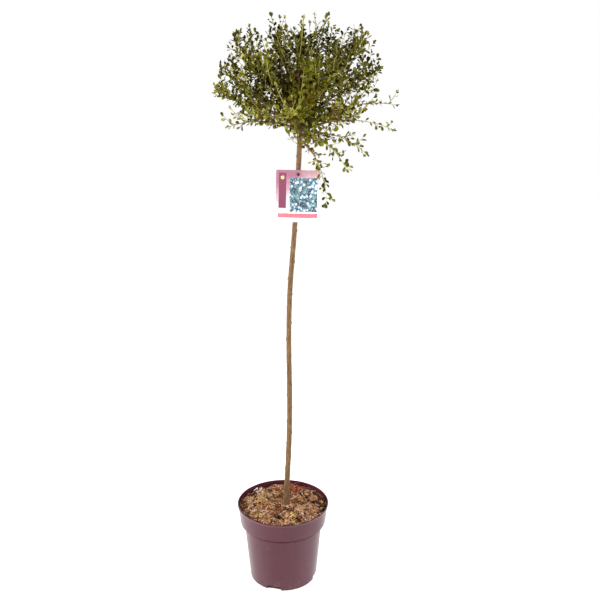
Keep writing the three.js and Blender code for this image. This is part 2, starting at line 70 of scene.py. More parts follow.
# Drain notches at the foot of the pot, higher and deeper than the solid's
NOTCH = SimpleNamespace(
    count=4,
    width=29,
    height=9,
    corner=1.6,
    depth=7,  # from the foot into the pot
    reach=9,  # how far the cutting blocks stand out in front and below
    below=5,
    first_azimuth=255,
)

SOIL = SimpleNamespace(
    level=157,
    foot=NOTCH.height + 1.5,  # the hidden underside, above the notches so that they stay open
    relief=1.1,
    waves=[(6.3, 7.1, 1), (3.4, -4.9, 0.6), (-2.9, 4.4, 0.4)],  # an X and a Y pitch and a share of the relief
    flat_radius=13,
    relief_radius=34,
    segments=160,
    rings=60,
    lumps=[(26, 2.2), (9, 2.0), (3.6, 1.1)],  # a pitch and a height of each finer unevenness
    hollows=(22, 0.12, 15),  # the pitch of the hollows, how much of them shows, and their depth
    # A place, a radius and a depth of each dent
    dents=[(66, 14, 14, 12), (31, -49, 12, 11), (14, -19, 13, 11), (-1, -51, 9, 9), (-27, 54, 9, 8)],
    even_foot=(7, 16),  # no hollows nearer to the stem than this
    damp_and_painted_shade=(0.1495, 0.1562),  # the heights in metres between which the mix turns from moist and dark, with painted shade in its hollows, to dry
)

TRUNK = SimpleNamespace(
    line=[
        (6, 6, SOIL.level + GAP),
        (13, 4, 300),
        (14.5, 1, 400),
        (13.5, -2, 520),
        (16, -2, 620),
        (25, 0, 735),
        (32.5, 0, 850),
        (37, 0, 950),
    ],
    foot=5.6,
    tip=4.6,
    flare=3.6,
    flare_height=11,
    head_swell=1.5,
    head_swell_height=24,
    steps=520,
    sides=32,
    point_tip=1.5,
    sunk=3,  # how deep its bark reaches into the potting mix
)

HEAD = SimpleNamespace(
    fork=938,
    axis=(37, 0),
    lowest_root=900,
    highest_root=948,
    bough_share=0.25,
    bough_overlap=0.01,  # how far a bough's bark runs on into the stem
    leave_slope=(0.62, 24),
    pulls=(0.38, 0.34),
    bough=2.5,
    shoot_tip=0.6,
    taper=0.75,
    stem_steps=5,
    places=16,
    trunk_places=24,
    slimming=(0.25, 0.5),  # the part of a thin or hanging shoot in which it grows slimmer than the rest
    slimness=0.6,  # how slim it grows there
    hanging_rise=-20,  # shoots whose tips lie lower than this from the fork hang
    brown_rings=(14, 3),  # the rings of a stem up to which its wood is brown, and the same where it hangs
    twig_heights=(960, 1080),  # where the spacing of twigs and leaves turns from low in the head to its top
)

OUTLINE = SimpleNamespace(centre=np.array([43.0, 0.0, 1030.0]), half_width=139, half_height=90, power=2.7)

# A row for each shoot: name, azimuth, rise, reach, end slope, and the length of its longest side twigs.
SHOOTS = [
    ("top_left", 166, 185, 55, 72, 70),
    ("top_right", 350, 182, 48, 68, 70),
    ("top_back", 80, 157, 49, 55, 66),
    ("top_front", 262, 140, 56, 45, 66),
    ("upper_right", 338, 140, 112, 60, 76),
    ("upper_left", 184, 150, 118, 72, 76),
    ("upper_back_right", 44, 120, 114, 45, 74),
    ("upper_back_left", 124, 122, 116, 45, 74),
    ("front_left", 226, 88, 119, 30, 76),
    ("front_right", 298, 87, 119, 25, 76),
    ("left_shoulder", 172, 94, 145, 50, 66),
    ("right_shoulder", 8, 91, 139, 35, 66),
    ("left", 196, 47, 156, 20, 66),
    ("right", 352, 30, 172, -10, 66),
    ("back", 90, 55, 136, 5, 74),
    ("low_left", 208, -8, 142, -16, 54),
    ("low_right", 338, -13, 174, -22, 50),
    ("low_back_left", 148, 17, 140, 5, 62),
    ("low_back_right", 38, 14, 138, 0, 62),
    ("low_front", 258, 16, 108, 0, 52),
    ("droop_right", 328, -54, 135, -38, 40),
    ("droop_front", 308, -79, 128, -50, 38),
    ("trail_front", 300, -142, 92, -88, 18),
]

TWIGS = SimpleNamespace(
    per_shoot=6,
    first_place=0.06,
    last_place=0.9,
    angle=50,
    angle_spread=14,
    stretch=(0.75, 1.15),
    shortening=0.45,
    overreach=0.04,
    cut_back=0.85,
    shortest=10,
    tested=(0.35, 0.7, 1),
    lift=0.28,
    root=0.75,
    root_share=0.8,
    tip=0.4,
    bark=0.15,  # what their bark adds to the radius of the solids' twigs at the root
    brown_part=0.35,
    seeds=(100, 31),
)

SPACE = SimpleNamespace(margin=1.2, limb_clearance=1, tag_depth=6, tag_clearance=4)

TAG = SimpleNamespace(
    width=83,
    height=97,
    thickness=0.6,
    corner=3,
    hole=3,
    hole_drop=8.5,
    hole_at=np.array([32.5, -8.2, 842.5]),
    roll=1.2,
    pitch=-1.5,
    bow=1.1,  # how far the card's sides curve back
    ease=0.12,  # of its edges
    corner_steps=8,
    side_steps=14,
    face_steps=14,  # from the hole out to the edge
)

TIE = SimpleNamespace(
    radius=0.7,
    stem=4.9,
    climb=3,
    climb_shares=(0.7, 0.15),
    drop=1.3,
    half_gap=0.95,
    neck=1.3,
    nose_reach=2.3,
    steps=220,
    sides=12,
    twists=34,  # of its two strands round each other
    strands=(0.88, 0.16),  # shares of its radius: the middle, and how far valleys and ridges lie from it
)

# The twist of wire in front of the card
KNOT = SimpleNamespace(
    half_length=3.4,
    radius=1.5,
    steps=22,
    last_ring=0.98,  # as a share of its half length
    sides=14,
    twist=5.5,
    strands=(0.86, 0.14),
)

# What only this scene adds: the finer twigs of each limb, and its leaves at their real size

# Thin shoots and the part of each past which no finer twigs grow
THIN_SHOOTS = {
    "right": 0.42,
    "low_right": 0.34,
    "low_left": 0.5,
    "low_front": 0.45,
    "low_back_left": 0.6,
    "low_back_right": 0.55,
    "top_left": 0.78,
    "top_right": 0.78,
}
THIN_PART = 0.5  # a shoot with finer twigs on less of it than this is slim, and its leaves are spaced out

FLAT_TOP = SimpleNamespace(height=1103, near_stem=9)  # above this height, leaves only near a shoot's own stem

# How each sort of limb is drawn: the points along its line, and the sides round it
LIMB_SHAPES = {
    "bough": (12, 14),
    "stem": (31, 9),
    "side_twig": (12, 6),
    "twiglet": (6, 4),
    "whip": (10, 6),
    "fork_twig": (6, 5),
}

TWIGLETS = SimpleNamespace(
    spacing=(5.2, 8.2),  # low in the head, and at its top
    on_bough=(0.35, 1),  # the part of a bough, of a stem and of a side twig that carries them
    on_stem=(0.02, 0.97),
    on_twig=(0.16, 0.9),
    angle=46,
    angle_spread=26,
    length=(44, 17),  # at the root of their limb, and at its tip
    length_spread=0.5,
    on_bough_length=(20, 30),  # on boughs they stand closer and are shorter
    on_bough_spacing=3.6,
    hanging=(0.75, 0.45),  # the share of those lengths at the root and at the tip of a hanging spray
    hanging_spacing=(1.2, 3.0),  # how much wider they are spaced there
    lift=0.75,
    hanging_lift=0.1,
    root=0.62,
    root_share=0.85,
    tip=0.3,
    slack=16,  # how far into a neighbour's space they may grow
    tested=(2, 5),  # the points of their line that are tested for it
    brown=(0.45, 0.6),  # so near the root of a spray, this share of them has brown bark
    seeds=(7000, 13),
)

# Twigs that leave the trunk itself, just under the boughs
FORK_TWIGS = SimpleNamespace(
    count=46,
    heights=(896, 950),
    turn_spread=0.8,
    climb=(0.1, 0.9),
    start=4,
    length=(14, 32),
    first_leaf=0.3,
    near_point=4,  # of a shoot's line, by which a twig's nearest shoot is found
)

# Long young shoots that stand out of the head
WHIPS = SimpleNamespace(
    per_shoot=4,
    on_stem=(0.1, 0.75),
    length=(64, 98),
    shortest=32,
    angle=(16, 40),
    lift=0.35,
    root=1.05,
    tip=0.42,
    slack=44,
    tested=(3, 6, 9),
    young=0.6,  # the share of them that bears young leaves
    first_leaf=0.12,
    seeds=(4000, 19),
)

LEAVES = SimpleNamespace(
    spacing=(4.5, 5.6),  # low in the head, and at its top
    length=10.9,
    hanging=(7.6, 11.5),  # their spacing and length on the sprays that hang below the head
    length_spread=0.42,
    shrinking=0.18,  # how much shorter they are at the tip of a twig
    width_share=0.62,
    width_spread=(0.86, 0.28),  # the narrowest, and what is drawn on top
    first=0.1,  # the share of a limb before its first leaf
    first_on_bough=0.2,
    first_step=0.35,  # of a spacing, from there
    angle=(38, 62),
    tips=[(0.8, 6), (0.62, 34), (0.5, 40)],  # a size and an angle of each leaf in the tuft at a twig's tip
    hanging_tips=1,
    young_tips=0.4,  # the share of light sprays with a young tuft
    sink=0.6,  # the share of a twig's radius at which a leaf starts
    attempts=3,  # turns that are tried where a leaf has no room, and the step between them
    turn_step=0.72,
    look_below=60,  # they look away from a point this far below the head's middle
    outward=0.7,
    upward=0.6,
    tilt=0.75,
    fold=(0.1, 0.5),
    curl=(-0.04, 0.2),
    twist=0.7,
    thickness=0.035,
    slack=18,
    seed=9000,
)

# Spacing, length and slack of the leaves where they don't follow their place in the head
LEAF_HABITS = SimpleNamespace(
    thin=(7.8, 10.8, LEAVES.slack),
    whip=(8.2, 9.6, WHIPS.slack),
    hanging_bough=(3.4, 11, 30),
)

# How the kinds of leaves are dealt out: dark inside the head as painted shade, light at its surface, and
# lighter low down as painted light
KINDS = SimpleNamespace(
    hanging={"dark": 0.22, "fresh": 0.84, "olive": 1},  # each kind up to its draw, on hanging shoots
    # Painted light: low down and away from the axis, lighter kinds take the place of dark ones
    inside=(0.4, 0.85),  # the edges of the inside: 0 in the middle of the head, 1 at its outline
    painted_light_heights=(940, 1025),  # the edges of the low part
    painted_light_at_stem=0.4,  # how light the low part is next to the head's axis
    painted_light_off_stem=(20, 80),  # between these distances from the axis it turns fully light
    old=0.07,  # shares inside the head
    # the deep kind is a painted shade inside the head
    deep=0.8,
    dark=(0.42, 0.1),  # shares of the rest in the upper head and low down
    young=(0.11, 0.6),
    lit=(0.45, 0.68),  # what remains is mid up to the first share, fresh up to the second, then olive
    stem_point=18,  # where the kind of a stem's own leaves and of a side twig's is read
    twig_point=6,
)

# Growth rule


def mix(a, b, share):
    return a + (b - a) * share


def smooth(value, low, high):
    share = np.clip((value - low) / (high - low), 0, 1)
    return share * share * (3 - 2 * share)


def unit(vector):
    return vector / np.linalg.norm(vector)


def dice(seed):
    """A seeded row of numbers from 0 to 1."""
    modulus, multiplier = 2147483647, 48271
    state = (seed * 7919 + 12345) % modulus

    def roll():
        nonlocal state
        state = state * multiplier % modulus
        return state / modulus

    for _ in range(6):
        roll()
    return roll


def varied(middle, spread, roll):
    return middle + spread * (roll() - 0.5)


def spline(points, places, closed=False, power=0.0):
    """Points at places 0 to 1 of the smooth line through points; power 0.5 evens out uneven distances."""
    points = np.asarray(points, float)
    count = len(points)
    spans = count if closed else count - 1
    if closed:
        padded = points[np.arange(-1, count + 2) % count]
    else:
        padded = np.vstack([2 * points[0] - points[1], points, 2 * points[-1] - points[-2]])
    place = np.clip(np.asarray(places, float), 0, 1) * spans
    start = np.minimum(place.astype(int), spans - 1)
    w = (place - start)[:, None]
    p0, p1, p2, p3 = (padded[start + k] for k in range(4))
    steps = (p1 - p0, p2 - p1, p3 - p2)
    d0, d1, d2 = (np.linalg.norm(step, axis=1, keepdims=True) ** power for step in steps)
    m1 = ((p1 - p0) / d0 - (p2 - p0) / (d0 + d1) + (p2 - p1) / d1) * d1
    m2 = ((p2 - p1) / d1 - (p3 - p1) / (d1 + d2) + (p3 - p2) / d2) * d1
    return p1 + m1 * w + (3 * (p2 - p1) - 2 * m1 - m2) * w**2 + (2 * (p1 - p2) + m1 + m2) * w**3


def bezier(controls, places):
    """Points at places 0 to 1 of a Bezier curve."""
    t = np.asarray(places, float)[:, None]
    level = [np.asarray(c, float)[None, :] for c in controls]
    while len(level) > 1:
        level = [a + (b - a) * t for a, b in zip(level, level[1:])]
    return level[0]


def line_length(line):
    return float(np.linalg.norm(np.diff(line, axis=0), axis=1).sum())


def square_to(tangent):
    """Two directions square to a tangent, the first of them level."""
    level = np.cross(tangent, UP)
    if np.linalg.norm(level) < 0.05:
        level = np.cross([1.0, 0.0, 0.0], tangent)
    level = unit(level)
    return level, unit(np.cross(level, tangent))


def turned_from(tangent, angle, turn):
    """The direction that leaves a tangent by an angle, at a turn round it."""
    across, over = square_to(tangent)
    aside = math.cos(turn) * across + math.sin(turn) * over
    return unit(math.cos(angle) * tangent + math.sin(angle) * aside)


def on_line(places, line, t):
    """The point and the direction at place t of a line whose points stand at rising places."""
    i = int(np.clip(np.searchsorted(places, t, side="right"), 1, len(places) - 1))
    a, b = line[i - 1], line[i]
    return mix(a, b, (t - places[i - 1]) / (places[i] - places[i - 1])), unit(b - a)


trunk_samples = spline(TRUNK.line, np.linspace(0, 1, 4001))


def trunk_point_at(height):
    return np.array([np.interp(height, trunk_samples[:, 2], trunk_samples[:, k]) for k in range(3)])


def trunk_radius(t, height):
    """The stem's radius at place t of its line, at a height above the soil."""
    from_head = (HEAD.fork - SOIL.level - height) / TRUNK.head_swell_height
    return (
        mix(TRUNK.foot, TRUNK.tip, t)
        + TRUNK.flare * np.exp(-height / TRUNK.flare_height)
        + TRUNK.head_swell * np.exp(-from_head * from_head)
    )


def shoot_controls(azimuth, rise, reach, end_slope):
    turn = math.radians(azimuth)
    out = np.array([math.cos(turn), math.sin(turn), 0.0])
    slope = math.atan2(rise, reach)
    tip = np.array([*HEAD.axis, HEAD.fork + rise]) + reach * out
    root = trunk_point_at(mix(HEAD.lowest_root, HEAD.highest_root, 0.5 + 0.5 * math.sin(slope)))
    length = np.linalg.norm(tip - root)
    leave = HEAD.leave_slope[0] * slope + math.radians(HEAD.leave_slope[1])
    arrive = math.radians(end_slope)
    first, last = (math.cos(angle) * out + math.sin(angle) * UP for angle in (leave, arrive))
    return [root, root + HEAD.pulls[0] * length * first, tip - HEAD.pulls[1] * length * last, tip]


def shoot_radius(t):
    return mix(HEAD.bough, HEAD.shoot_tip, np.power(t, HEAD.taper))


def grown_shoot(number, row):
    name, azimuth, rise, reach, end_slope, twig_length = row
    controls = shoot_controls(azimuth, rise, reach, end_slope)
    length = line_length(bezier(controls, np.linspace(0, 1, 201)))
    chord_places = np.linspace(HEAD.bough_share + GAP / length, 1, HEAD.stem_steps + 1)
    return SimpleNamespace(
        name=name,
        number=number,
        hanging=rise < HEAD.hanging_rise,
        controls=controls,
        length=length,
        twig_length=twig_length,
        chord_places=chord_places,
        chords=bezier(controls, chord_places),
        places=bezier(controls, np.linspace(0, 1, HEAD.places + 1)),
    )


shoots = [grown_shoot(number, row) for number, row in enumerate(SHOOTS)]
shoot_paths = np.array([shoot.places for shoot in shoots])
trunk_path = spline(TRUNK.line, np.linspace(0, 1, HEAD.trunk_places + 1))
bough_segments = math.ceil(HEAD.bough_share * HEAD.places)


def distances(paths, point):
    """The distance from a point to each segment of the paths."""
    start, step = paths[..., :-1, :], np.diff(paths, axis=-2)
    share = np.clip(((point - start) * step).sum(-1) / (step * step).sum(-1), 0, 1)
    return np.linalg.norm(point - start - share[..., None] * step, axis=-1)


def outline_reach(point):
    away = point - OUTLINE.centre
    level = math.hypot(away[0], away[1]) / OUTLINE.half_width
    height = abs(away[2]) / OUTLINE.half_height
    return (level**OUTLINE.power + height**OUTLINE.power) ** (1 / OUTLINE.power)


def clear_of_tag(point):
    x, y, z = TAG.hole_at
    across = abs(point[0] - x) - TAG.width / 2
    deep = abs(point[1] - y) - SPACE.tag_depth
    high = abs(point[2] - (z + TAG.hole_drop - TAG.height / 2)) - TAG.height / 2
    return max(across, deep, high) > SPACE.tag_clearance


def in_own_space(shoot, point, slack=0.0):
    """True where a point is nearer to its own shoot than to others, give or take slack, and clear of wood."""
    clearance = HEAD.bough + SPACE.limb_clearance
    away = distances(shoot_paths, point)
    if away[shoot.number, :bough_segments].min() < clearance:
        return False
    least = away.min(axis=1)
    if 0 < slack < WHIPS.slack and point[2] > FLAT_TOP.height and least[shoot.number] > FLAT_TOP.near_stem:
        return False
    others = np.delete(least, shoot.number)
    if (others < least[shoot.number] + 2 * SPACE.margin - slack).any():
        return False
    if not slack and (others < clearance).any():
        return False
    return distances(trunk_path, point).min() > TRUNK.foot + 2 * SPACE.limb_clearance and clear_of_tag(point)


def twig_controls(root, heading, length, lift):
    lifted = unit(heading + lift * UP)
    return [root, root + heading * length * 0.5, root + lifted * length]


def cut_to_outline(root, heading, length, lift):
    """A twig's control points, cut back until it passes the head's outline by no more than its root does."""
    limit = max(1, outline_reach(root) + TWIGS.overreach)
    controls = twig_controls(root, heading, length, lift)
    while length > TWIGS.shortest and outline_reach(controls[2]) > limit:
        length *= TWIGS.cut_back
        controls = twig_controls(root, heading, length, lift)
    return controls, length


def shoot_dice(settings, shoot):
    """The shoot's own row of seeded numbers for one sort of twigs."""
    return dice(settings.seeds[0] + settings.seeds[1] * shoot.number)


def side_twigs(shoot):
    """The side twigs of the solids."""
    roll = shoot_dice(TWIGS, shoot)
    first = 2 * math.pi * roll()
    kept = []
    for k in range(TWIGS.per_shoot):
        share = mix(TWIGS.first_place, TWIGS.last_place, k / (TWIGS.per_shoot - 1))
        t = mix(HEAD.bough_share, 1, share)
        angle = math.radians(varied(TWIGS.angle, TWIGS.angle_spread, roll))
        stretch = mix(*TWIGS.stretch, roll())
        root, tangent = on_line(shoot.chord_places, shoot.chords, t)
        heading = turned_from(tangent, angle, first + k * GOLDEN_TURN)
        length = shoot.twig_length * (1 - TWIGS.shortening * share) * stretch
        controls, length = cut_to_outline(root, heading, length, TWIGS.lift)
        if all(in_own_space(shoot, point) for point in bezier(controls, TWIGS.tested)):
            radius = min(TWIGS.root, TWIGS.root_share * shoot_radius(t))
            kept.append(SimpleNamespace(controls=controls, share=share, radius=radius))
    return kept


# Finer growth: every limb is a line with radii and the wood it shows, and every leaf has a kind

limbs = []
leaves = []


def leaf_kind(roll, place, shoot):
    """The kind of leaf that a spray at a place bears: the deep kind inside the head as painted shade, lighter
    kinds low down as painted light.
    """
    draw = roll()
    limits = KINDS.hanging
    if not shoot.hanging:
        painted_light_off_stem = smooth(np.linalg.norm(place[:2] - OUTLINE.centre[:2]), *KINDS.painted_light_off_stem)
        low = (1 - smooth(place[2], *KINDS.painted_light_heights)) * mix(KINDS.painted_light_at_stem, 1, painted_light_off_stem)
        inside = (1 - smooth(outline_reach(place), *KINDS.inside)) * (1 - low)
        old = KINDS.old * inside
        deep = old + KINDS.deep * inside
        dark = deep + (1 - deep) * mix(*KINDS.dark, low)
        olive = 1 - (1 - deep) * mix(*KINDS.young, low)
        mid, fresh = (mix(dark, olive, share) for share in KINDS.lit)
        limits = dict(old=old, deep=deep, dark=dark, mid=mid, fresh=fresh, olive=olive, young=1)
    return next(kind for kind, limit in limits.items() if draw < limit)


def add_limb(sort, line, radii, wood):
    limbs.append(SimpleNamespace(line=line, radii=radii, wood=wood, sides=LIMB_SHAPES[sort][1]))


def places_on(sort, start=0.0, end=1.0):
    return np.linspace(start, end, LIMB_SHAPES[sort][0])


def leaf_face(root, heading, roll):
    """The direction that a leaf's upper side looks to: outward and up, tilted at random."""
    centre = OUTLINE.centre - LEAVES.look_below * UP
    face = LEAVES.outward * unit(root - centre) + LEAVES.upward * UP
    face = face + LEAVES.tilt * np.array([2 * roll() - 1 for _ in range(3)])
    return unit(face - face.dot(heading) * heading)


def clothe(shoot, line, radii, start, kind, roll, habit=None):
    """Leaves along a limb's line from a share of its length, in a spiral, and a small tuft at its tip.

    A habit gives their spacing, length and slack. Without one these follow the place in the head.
    """
    spacing, size = mix(*LEAVES.spacing, smooth(line[0][2], *HEAD.twig_heights)), LEAVES.length
    if shoot.hanging:
        spacing, size = LEAVES.hanging
    spacing, size, slack = habit or (spacing, size, LEAVES.slack)
    count = max(1, int(line_length(line) * (1 - start) / spacing))
    places = np.linspace(0, 1, len(line))
    first = 2 * math.pi * roll()

    def sprout(number, point, tangent, angle, size, kind, radius=0.0):
        """Adds a leaf at the first of a few turns round the twig where it keeps to the head's space."""
        if kind == "old" and outline_reach(point) > KINDS.inside[1]:
            kind = "mid"
        for attempt in range(LEAVES.attempts):
            turn = first + number * GOLDEN_TURN + attempt * LEAVES.turn_step
            heading = turned_from(tangent, angle, turn)
            root = point + LEAVES.sink * radius * heading
            face = leaf_face(root, heading, roll)
            if in_own_space(shoot, root + size * heading, slack):
                leaves.append((root, heading, face, size, kind))
                return

    for j in range(count):
        share = mix(start, 1, (j + LEAVES.first_step) / count)
        point, tangent = on_line(places, line, share)
        grown = size * varied(1, LEAVES.length_spread, roll) * (1 - LEAVES.shrinking * share)
        angle = math.radians(mix(*LEAVES.angle, roll()))
        sprout(j, point, tangent, angle, grown, kind, np.interp(share, places, radii))
    if kind in ("mid", "olive", "fresh") and roll() < LEAVES.young_tips:
        kind = "young"
    tip, tangent = line[-1], unit(line[-1] - line[-2])
    tips = LEAVES.tips[: LEAVES.hanging_tips] if shoot.hanging else LEAVES.tips
    for j, (share, angle) in enumerate(tips):
        sprout(count + j, tip, tangent, math.radians(angle), size * share, kind)


def grow_twiglets(shoot, line, radii, part, roll, kind=None, share=0.0, bough=False):
    """Finer twigs along part of a limb, each with its leaves.

    A side twig gives its kind of leaf and its share of the way along the stem. Elsewhere each has a kind.
    """
    hanging = shoot.hanging and not bough
    spacing, lengths = mix(*TWIGLETS.spacing, smooth(line[0][2], *HEAD.twig_heights)), TWIGLETS.length
    if bough:
        spacing, lengths = TWIGLETS.on_bough_spacing, TWIGLETS.on_bough_length
    places = np.linspace(0, 1, len(line))
    count = int(line_length(line) * (part[1] - part[0]) / spacing)
    first = 2 * math.pi * roll()
    for k in range(count):
        at = mix(*part, (k + 0.5) / count)
        if hanging and roll() > 1 / mix(*TWIGLETS.hanging_spacing, at):
            continue
        root, tangent = on_line(places, line, at)
        angle = math.radians(varied(TWIGLETS.angle, TWIGLETS.angle_spread, roll))
        heading = turned_from(tangent, angle, first + k * GOLDEN_TURN)
        length = mix(*lengths, at) * varied(1, TWIGLETS.length_spread, roll)
        length *= mix(*TWIGLETS.hanging, at) if hanging else 1
        lift = TWIGLETS.hanging_lift if hanging else TWIGLETS.lift
        controls, _ = cut_to_outline(root, heading, length, lift)
        twig = bezier(controls, places_on("twiglet"))
        if not all(in_own_space(shoot, twig[i], TWIGLETS.slack) for i in TWIGLETS.tested):
            continue
        thick = min(TWIGLETS.root, TWIGLETS.root_share * float(np.interp(at, places, radii)))
        twig_radii = np.linspace(thick, TWIGLETS.tip, len(twig))
        from_root = mix(share, 1, 0.5 * at) if kind else at
        own_kind = kind or leaf_kind(roll, root, shoot)
        brown_part, brown_share = TWIGLETS.brown
        brown = from_root < brown_part and roll() < brown_share
        add_limb("twiglet", twig, twig_radii, "old" if brown else "young")
        clothe(shoot, twig, twig_radii, LEAVES.first, own_kind, roll)


def grow_bough(shoot, roll):
    places = places_on("bough", 0, HEAD.bough_share + HEAD.bough_overlap)
    line, radii = bezier(shoot.controls, places), shoot_radius(places)
    add_limb("bough", line, radii, "bough")
    grow_twiglets(shoot, line, radii, TWIGLETS.on_bough, roll, bough=True)
    if shoot.hanging:
        clothe(shoot, line, radii, LEAVES.first_on_bough, "fresh", roll, LEAF_HABITS.hanging_bough)


def grow(shoot):
    roll = shoot_dice(TWIGLETS, shoot)
    grow_bough(shoot, roll)
    places = places_on("stem", HEAD.bough_share)
    leafy = THIN_SHOOTS.get(shoot.name, 1)
    thin = leafy < THIN_PART
    slim = HEAD.slimness if shoot.hanging or thin else 1
    stem = bezier(shoot.controls, places)
    radii = shoot_radius(places) * mix(1, slim, smooth(places, *HEAD.slimming))
    brown = HEAD.brown_rings[1 if shoot.hanging else 0]
    add_limb("stem", stem[: brown + 1], radii[: brown + 1], "old")
    add_limb("stem", stem[brown:], radii[brown:], "young")
    kind = leaf_kind(roll, stem[KINDS.stem_point], shoot)
    clothe(shoot, stem, radii, LEAVES.first, kind, roll, LEAF_HABITS.thin if thin else None)
    start, end = TWIGLETS.on_stem
    grow_twiglets(shoot, stem, radii, (start, min(end, leafy)), roll)
    for twig in side_twigs(shoot):
        line = bezier(twig.controls, places_on("side_twig"))
        radii = np.linspace(twig.radius + TWIGS.bark, TWIGS.tip, len(line))
        add_limb("side_twig", line, radii, "old" if twig.share < TWIGS.brown_part else "young")
        kind = leaf_kind(roll, line[KINDS.twig_point], shoot)
        bare = twig.share > leafy
        clothe(shoot, line, radii, LEAVES.first, kind, roll, LEAF_HABITS.thin if bare else None)
        if not bare:
            grow_twiglets(shoot, line, radii, TWIGLETS.on_twig, roll, kind, twig.share)


def grow_whips(shoot):
    """Long straight young shoots with small leaves, that stand clear of the finer twigs."""
    roll = shoot_dice(WHIPS, shoot)
    first = 2 * math.pi * roll()
    for k in range(WHIPS.per_shoot):
        t = mix(HEAD.bough_share, 1, mix(*WHIPS.on_stem, (k + roll()) / WHIPS.per_shoot))
        root, tangent = on_line(shoot.chord_places, shoot.chords, t)
        heading = turned_from(tangent, math.radians(mix(*WHIPS.angle, roll())), first + k * GOLDEN_TURN)
        controls, length = cut_to_outline(root, heading, mix(*WHIPS.length, roll()), WHIPS.lift)
        line = bezier(controls, places_on("whip"))
        free = all(in_own_space(shoot, line[i], WHIPS.slack) for i in WHIPS.tested)
        if length >= WHIPS.shortest and free:
            radii = np.linspace(WHIPS.root, WHIPS.tip, len(line))
            add_limb("whip", line, radii, "young")
            kind = "young" if roll() < WHIPS.young else "olive"
            clothe(shoot, line, radii, WHIPS.first_leaf, kind, roll, LEAF_HABITS.whip)


def grow_round_fork():
    """Short leafy twigs that leave the trunk just under the boughs."""
    roll = dice(TWIGLETS.seeds[0] - 1)
    for k in range(FORK_TWIGS.count):
        root = trunk_point_at(mix(*FORK_TWIGS.heights, (k + 0.5) / FORK_TWIGS.count))
        turn = k * GOLDEN_TURN + FORK_TWIGS.turn_spread * roll()
        heading = unit(np.array([math.cos(turn), math.sin(turn), mix(*FORK_TWIGS.climb, roll())]))
        start = root + FORK_TWIGS.start * heading
        controls = twig_controls(start, heading, mix(*FORK_TWIGS.length, roll()), TWIGLETS.lift)
        line = bezier(controls, places_on("fork_twig"))
        radii = np.linspace(TWIGLETS.root, TWIGLETS.tip, len(line))
        near = min(shoots, key=lambda shoot: np.linalg.norm(shoot.places[FORK_TWIGS.near_point] - line[-1]))
        add_limb("fork_twig", line, radii, "young")
        clothe(near, line, radii, FORK_TWIGS.first_leaf, leaf_kind(roll, root, near), roll)


for shoot in shoots:
    grow(shoot)
    if not shoot.hanging:
        grow_whips(shoot)
grow_round_fork()


# Meshes


def circle(sides):
    """Even angles round a circle."""
    return 2 * np.pi * np.arange(sides) / sides


def ring_round(point, across, over, radii):
    """Points round a point, in the plane of two directions, each at its own radius."""
    turns = circle(len(radii))
    return point + radii[:, None] * (np.cos(turns)[:, None] * across + np.sin(turns)[:, None] * over)


def bands(sides, rings, first=0, outward=False):
    """Quads between closed rings of points that follow one another from the first point's number."""
    a = np.arange(sides)
    b = (a + 1) % sides
    corners = (a, b, b + sides, a + sides) if outward else (a, a + sides, b + sides, b)
    starts = first + sides * np.arange(rings - 1)[:, None]
    return np.stack([starts + corner for corner in corners], -1).reshape(-1, 4)


def fan(sides, hub, start, back=False):
    """Triangles from a hub to the ring that starts at a point's number."""
    a = np.arange(sides)
    b = (a + 1) % sides
    pair = (b, a) if back else (a, b)
    return np.stack([np.full(sides, hub), start + pair[0], start + pair[1]], -1)


def disc_faces(sides, rings):
    """Faces of a disc whose points are its middle and then its rings."""
    return fan(sides, 0, 1), bands(sides, rings, first=1)


def block_faces(corners, outlines):
    """Faces of a block whose points are its outlines: the bands between them, and a lid on both ends."""
    last = corners * (outlines - 1)
    return bands(corners, outlines, outward=True), [range(corners)[::-1]], [range(last, last + corners)]


class Heap:
    """Points and faces of one piece, in millimetres, gathered shape by shape."""

    def __init__(self):
        self.points, self.faces, self.count = [], [], 0

    def add_faces(self, array, slot=0):
        """Adds faces of one number of corners, counted from the first point of the shape to be added next."""
        array = np.asarray(array, int)
        self.faces.append((array + self.count, np.full(len(array), slot)))

    def add(self, points, *faces):
        """Adds the points of a shape, and arrays of its faces."""
        for array in faces:
            self.add_faces(array)
        points = np.asarray(points, float).reshape(-1, 3)
        self.points.append(points)
        self.count += len(points)

    def add_tube(self, line, radii, sides, point_tip=0.0):
        """A round bar along a line, with closed ends; radii may differ round each ring."""
        radii = np.broadcast_to(np.asarray(radii, float).reshape(len(line), -1), (len(line), sides))
        tangents = np.gradient(line, axis=0)
        tangents /= np.linalg.norm(tangents, axis=1, keepdims=True)
        across, _ = square_to(tangents[0])
        rings = []
        for point, tangent, ring_radii in zip(line, tangents, radii):
            across = unit(across - across.dot(tangent) * tangent)
            rings.append(ring_round(point, across, np.cross(across, tangent), ring_radii))
        ends = [line[0], line[-1] + point_tip * tangents[-1]]
        hub = sides * len(line)
        caps = np.vstack([fan(sides, hub, 0), fan(sides, hub + 1, hub - sides, back=True)])
        self.add(np.vstack([*rings, ends]), bands(sides, len(line)), caps)

    def mesh(self, name, materials, sharp_angle=None):
        points = np.vstack(self.points) * MM
        corners = np.concatenate([array.ravel() for array, _ in self.faces])
        sizes = np.concatenate([np.full(len(array), array.shape[1]) for array, _ in self.faces])
        slots = np.concatenate([slot for _, slot in self.faces])
        mesh = bpy.data.meshes.new(name)
        mesh.vertices.add(len(points))
        mesh.vertices.foreach_set("co", points.ravel())
        mesh.loops.add(len(corners))
        mesh.loops.foreach_set("vertex_index", corners)
        mesh.polygons.add(len(sizes))
        mesh.polygons.foreach_set("loop_start", np.concatenate([[0], np.cumsum(sizes)[:-1]]))
        for material in materials:
            mesh.materials.append(material)
        mesh.polygons.foreach_set("material_index", slots)
        mesh.update(calc_edges=True)
        if sharp_angle is not None:
            mesh.set_sharp_from_angle(angle=math.radians(sharp_angle))
        return mesh


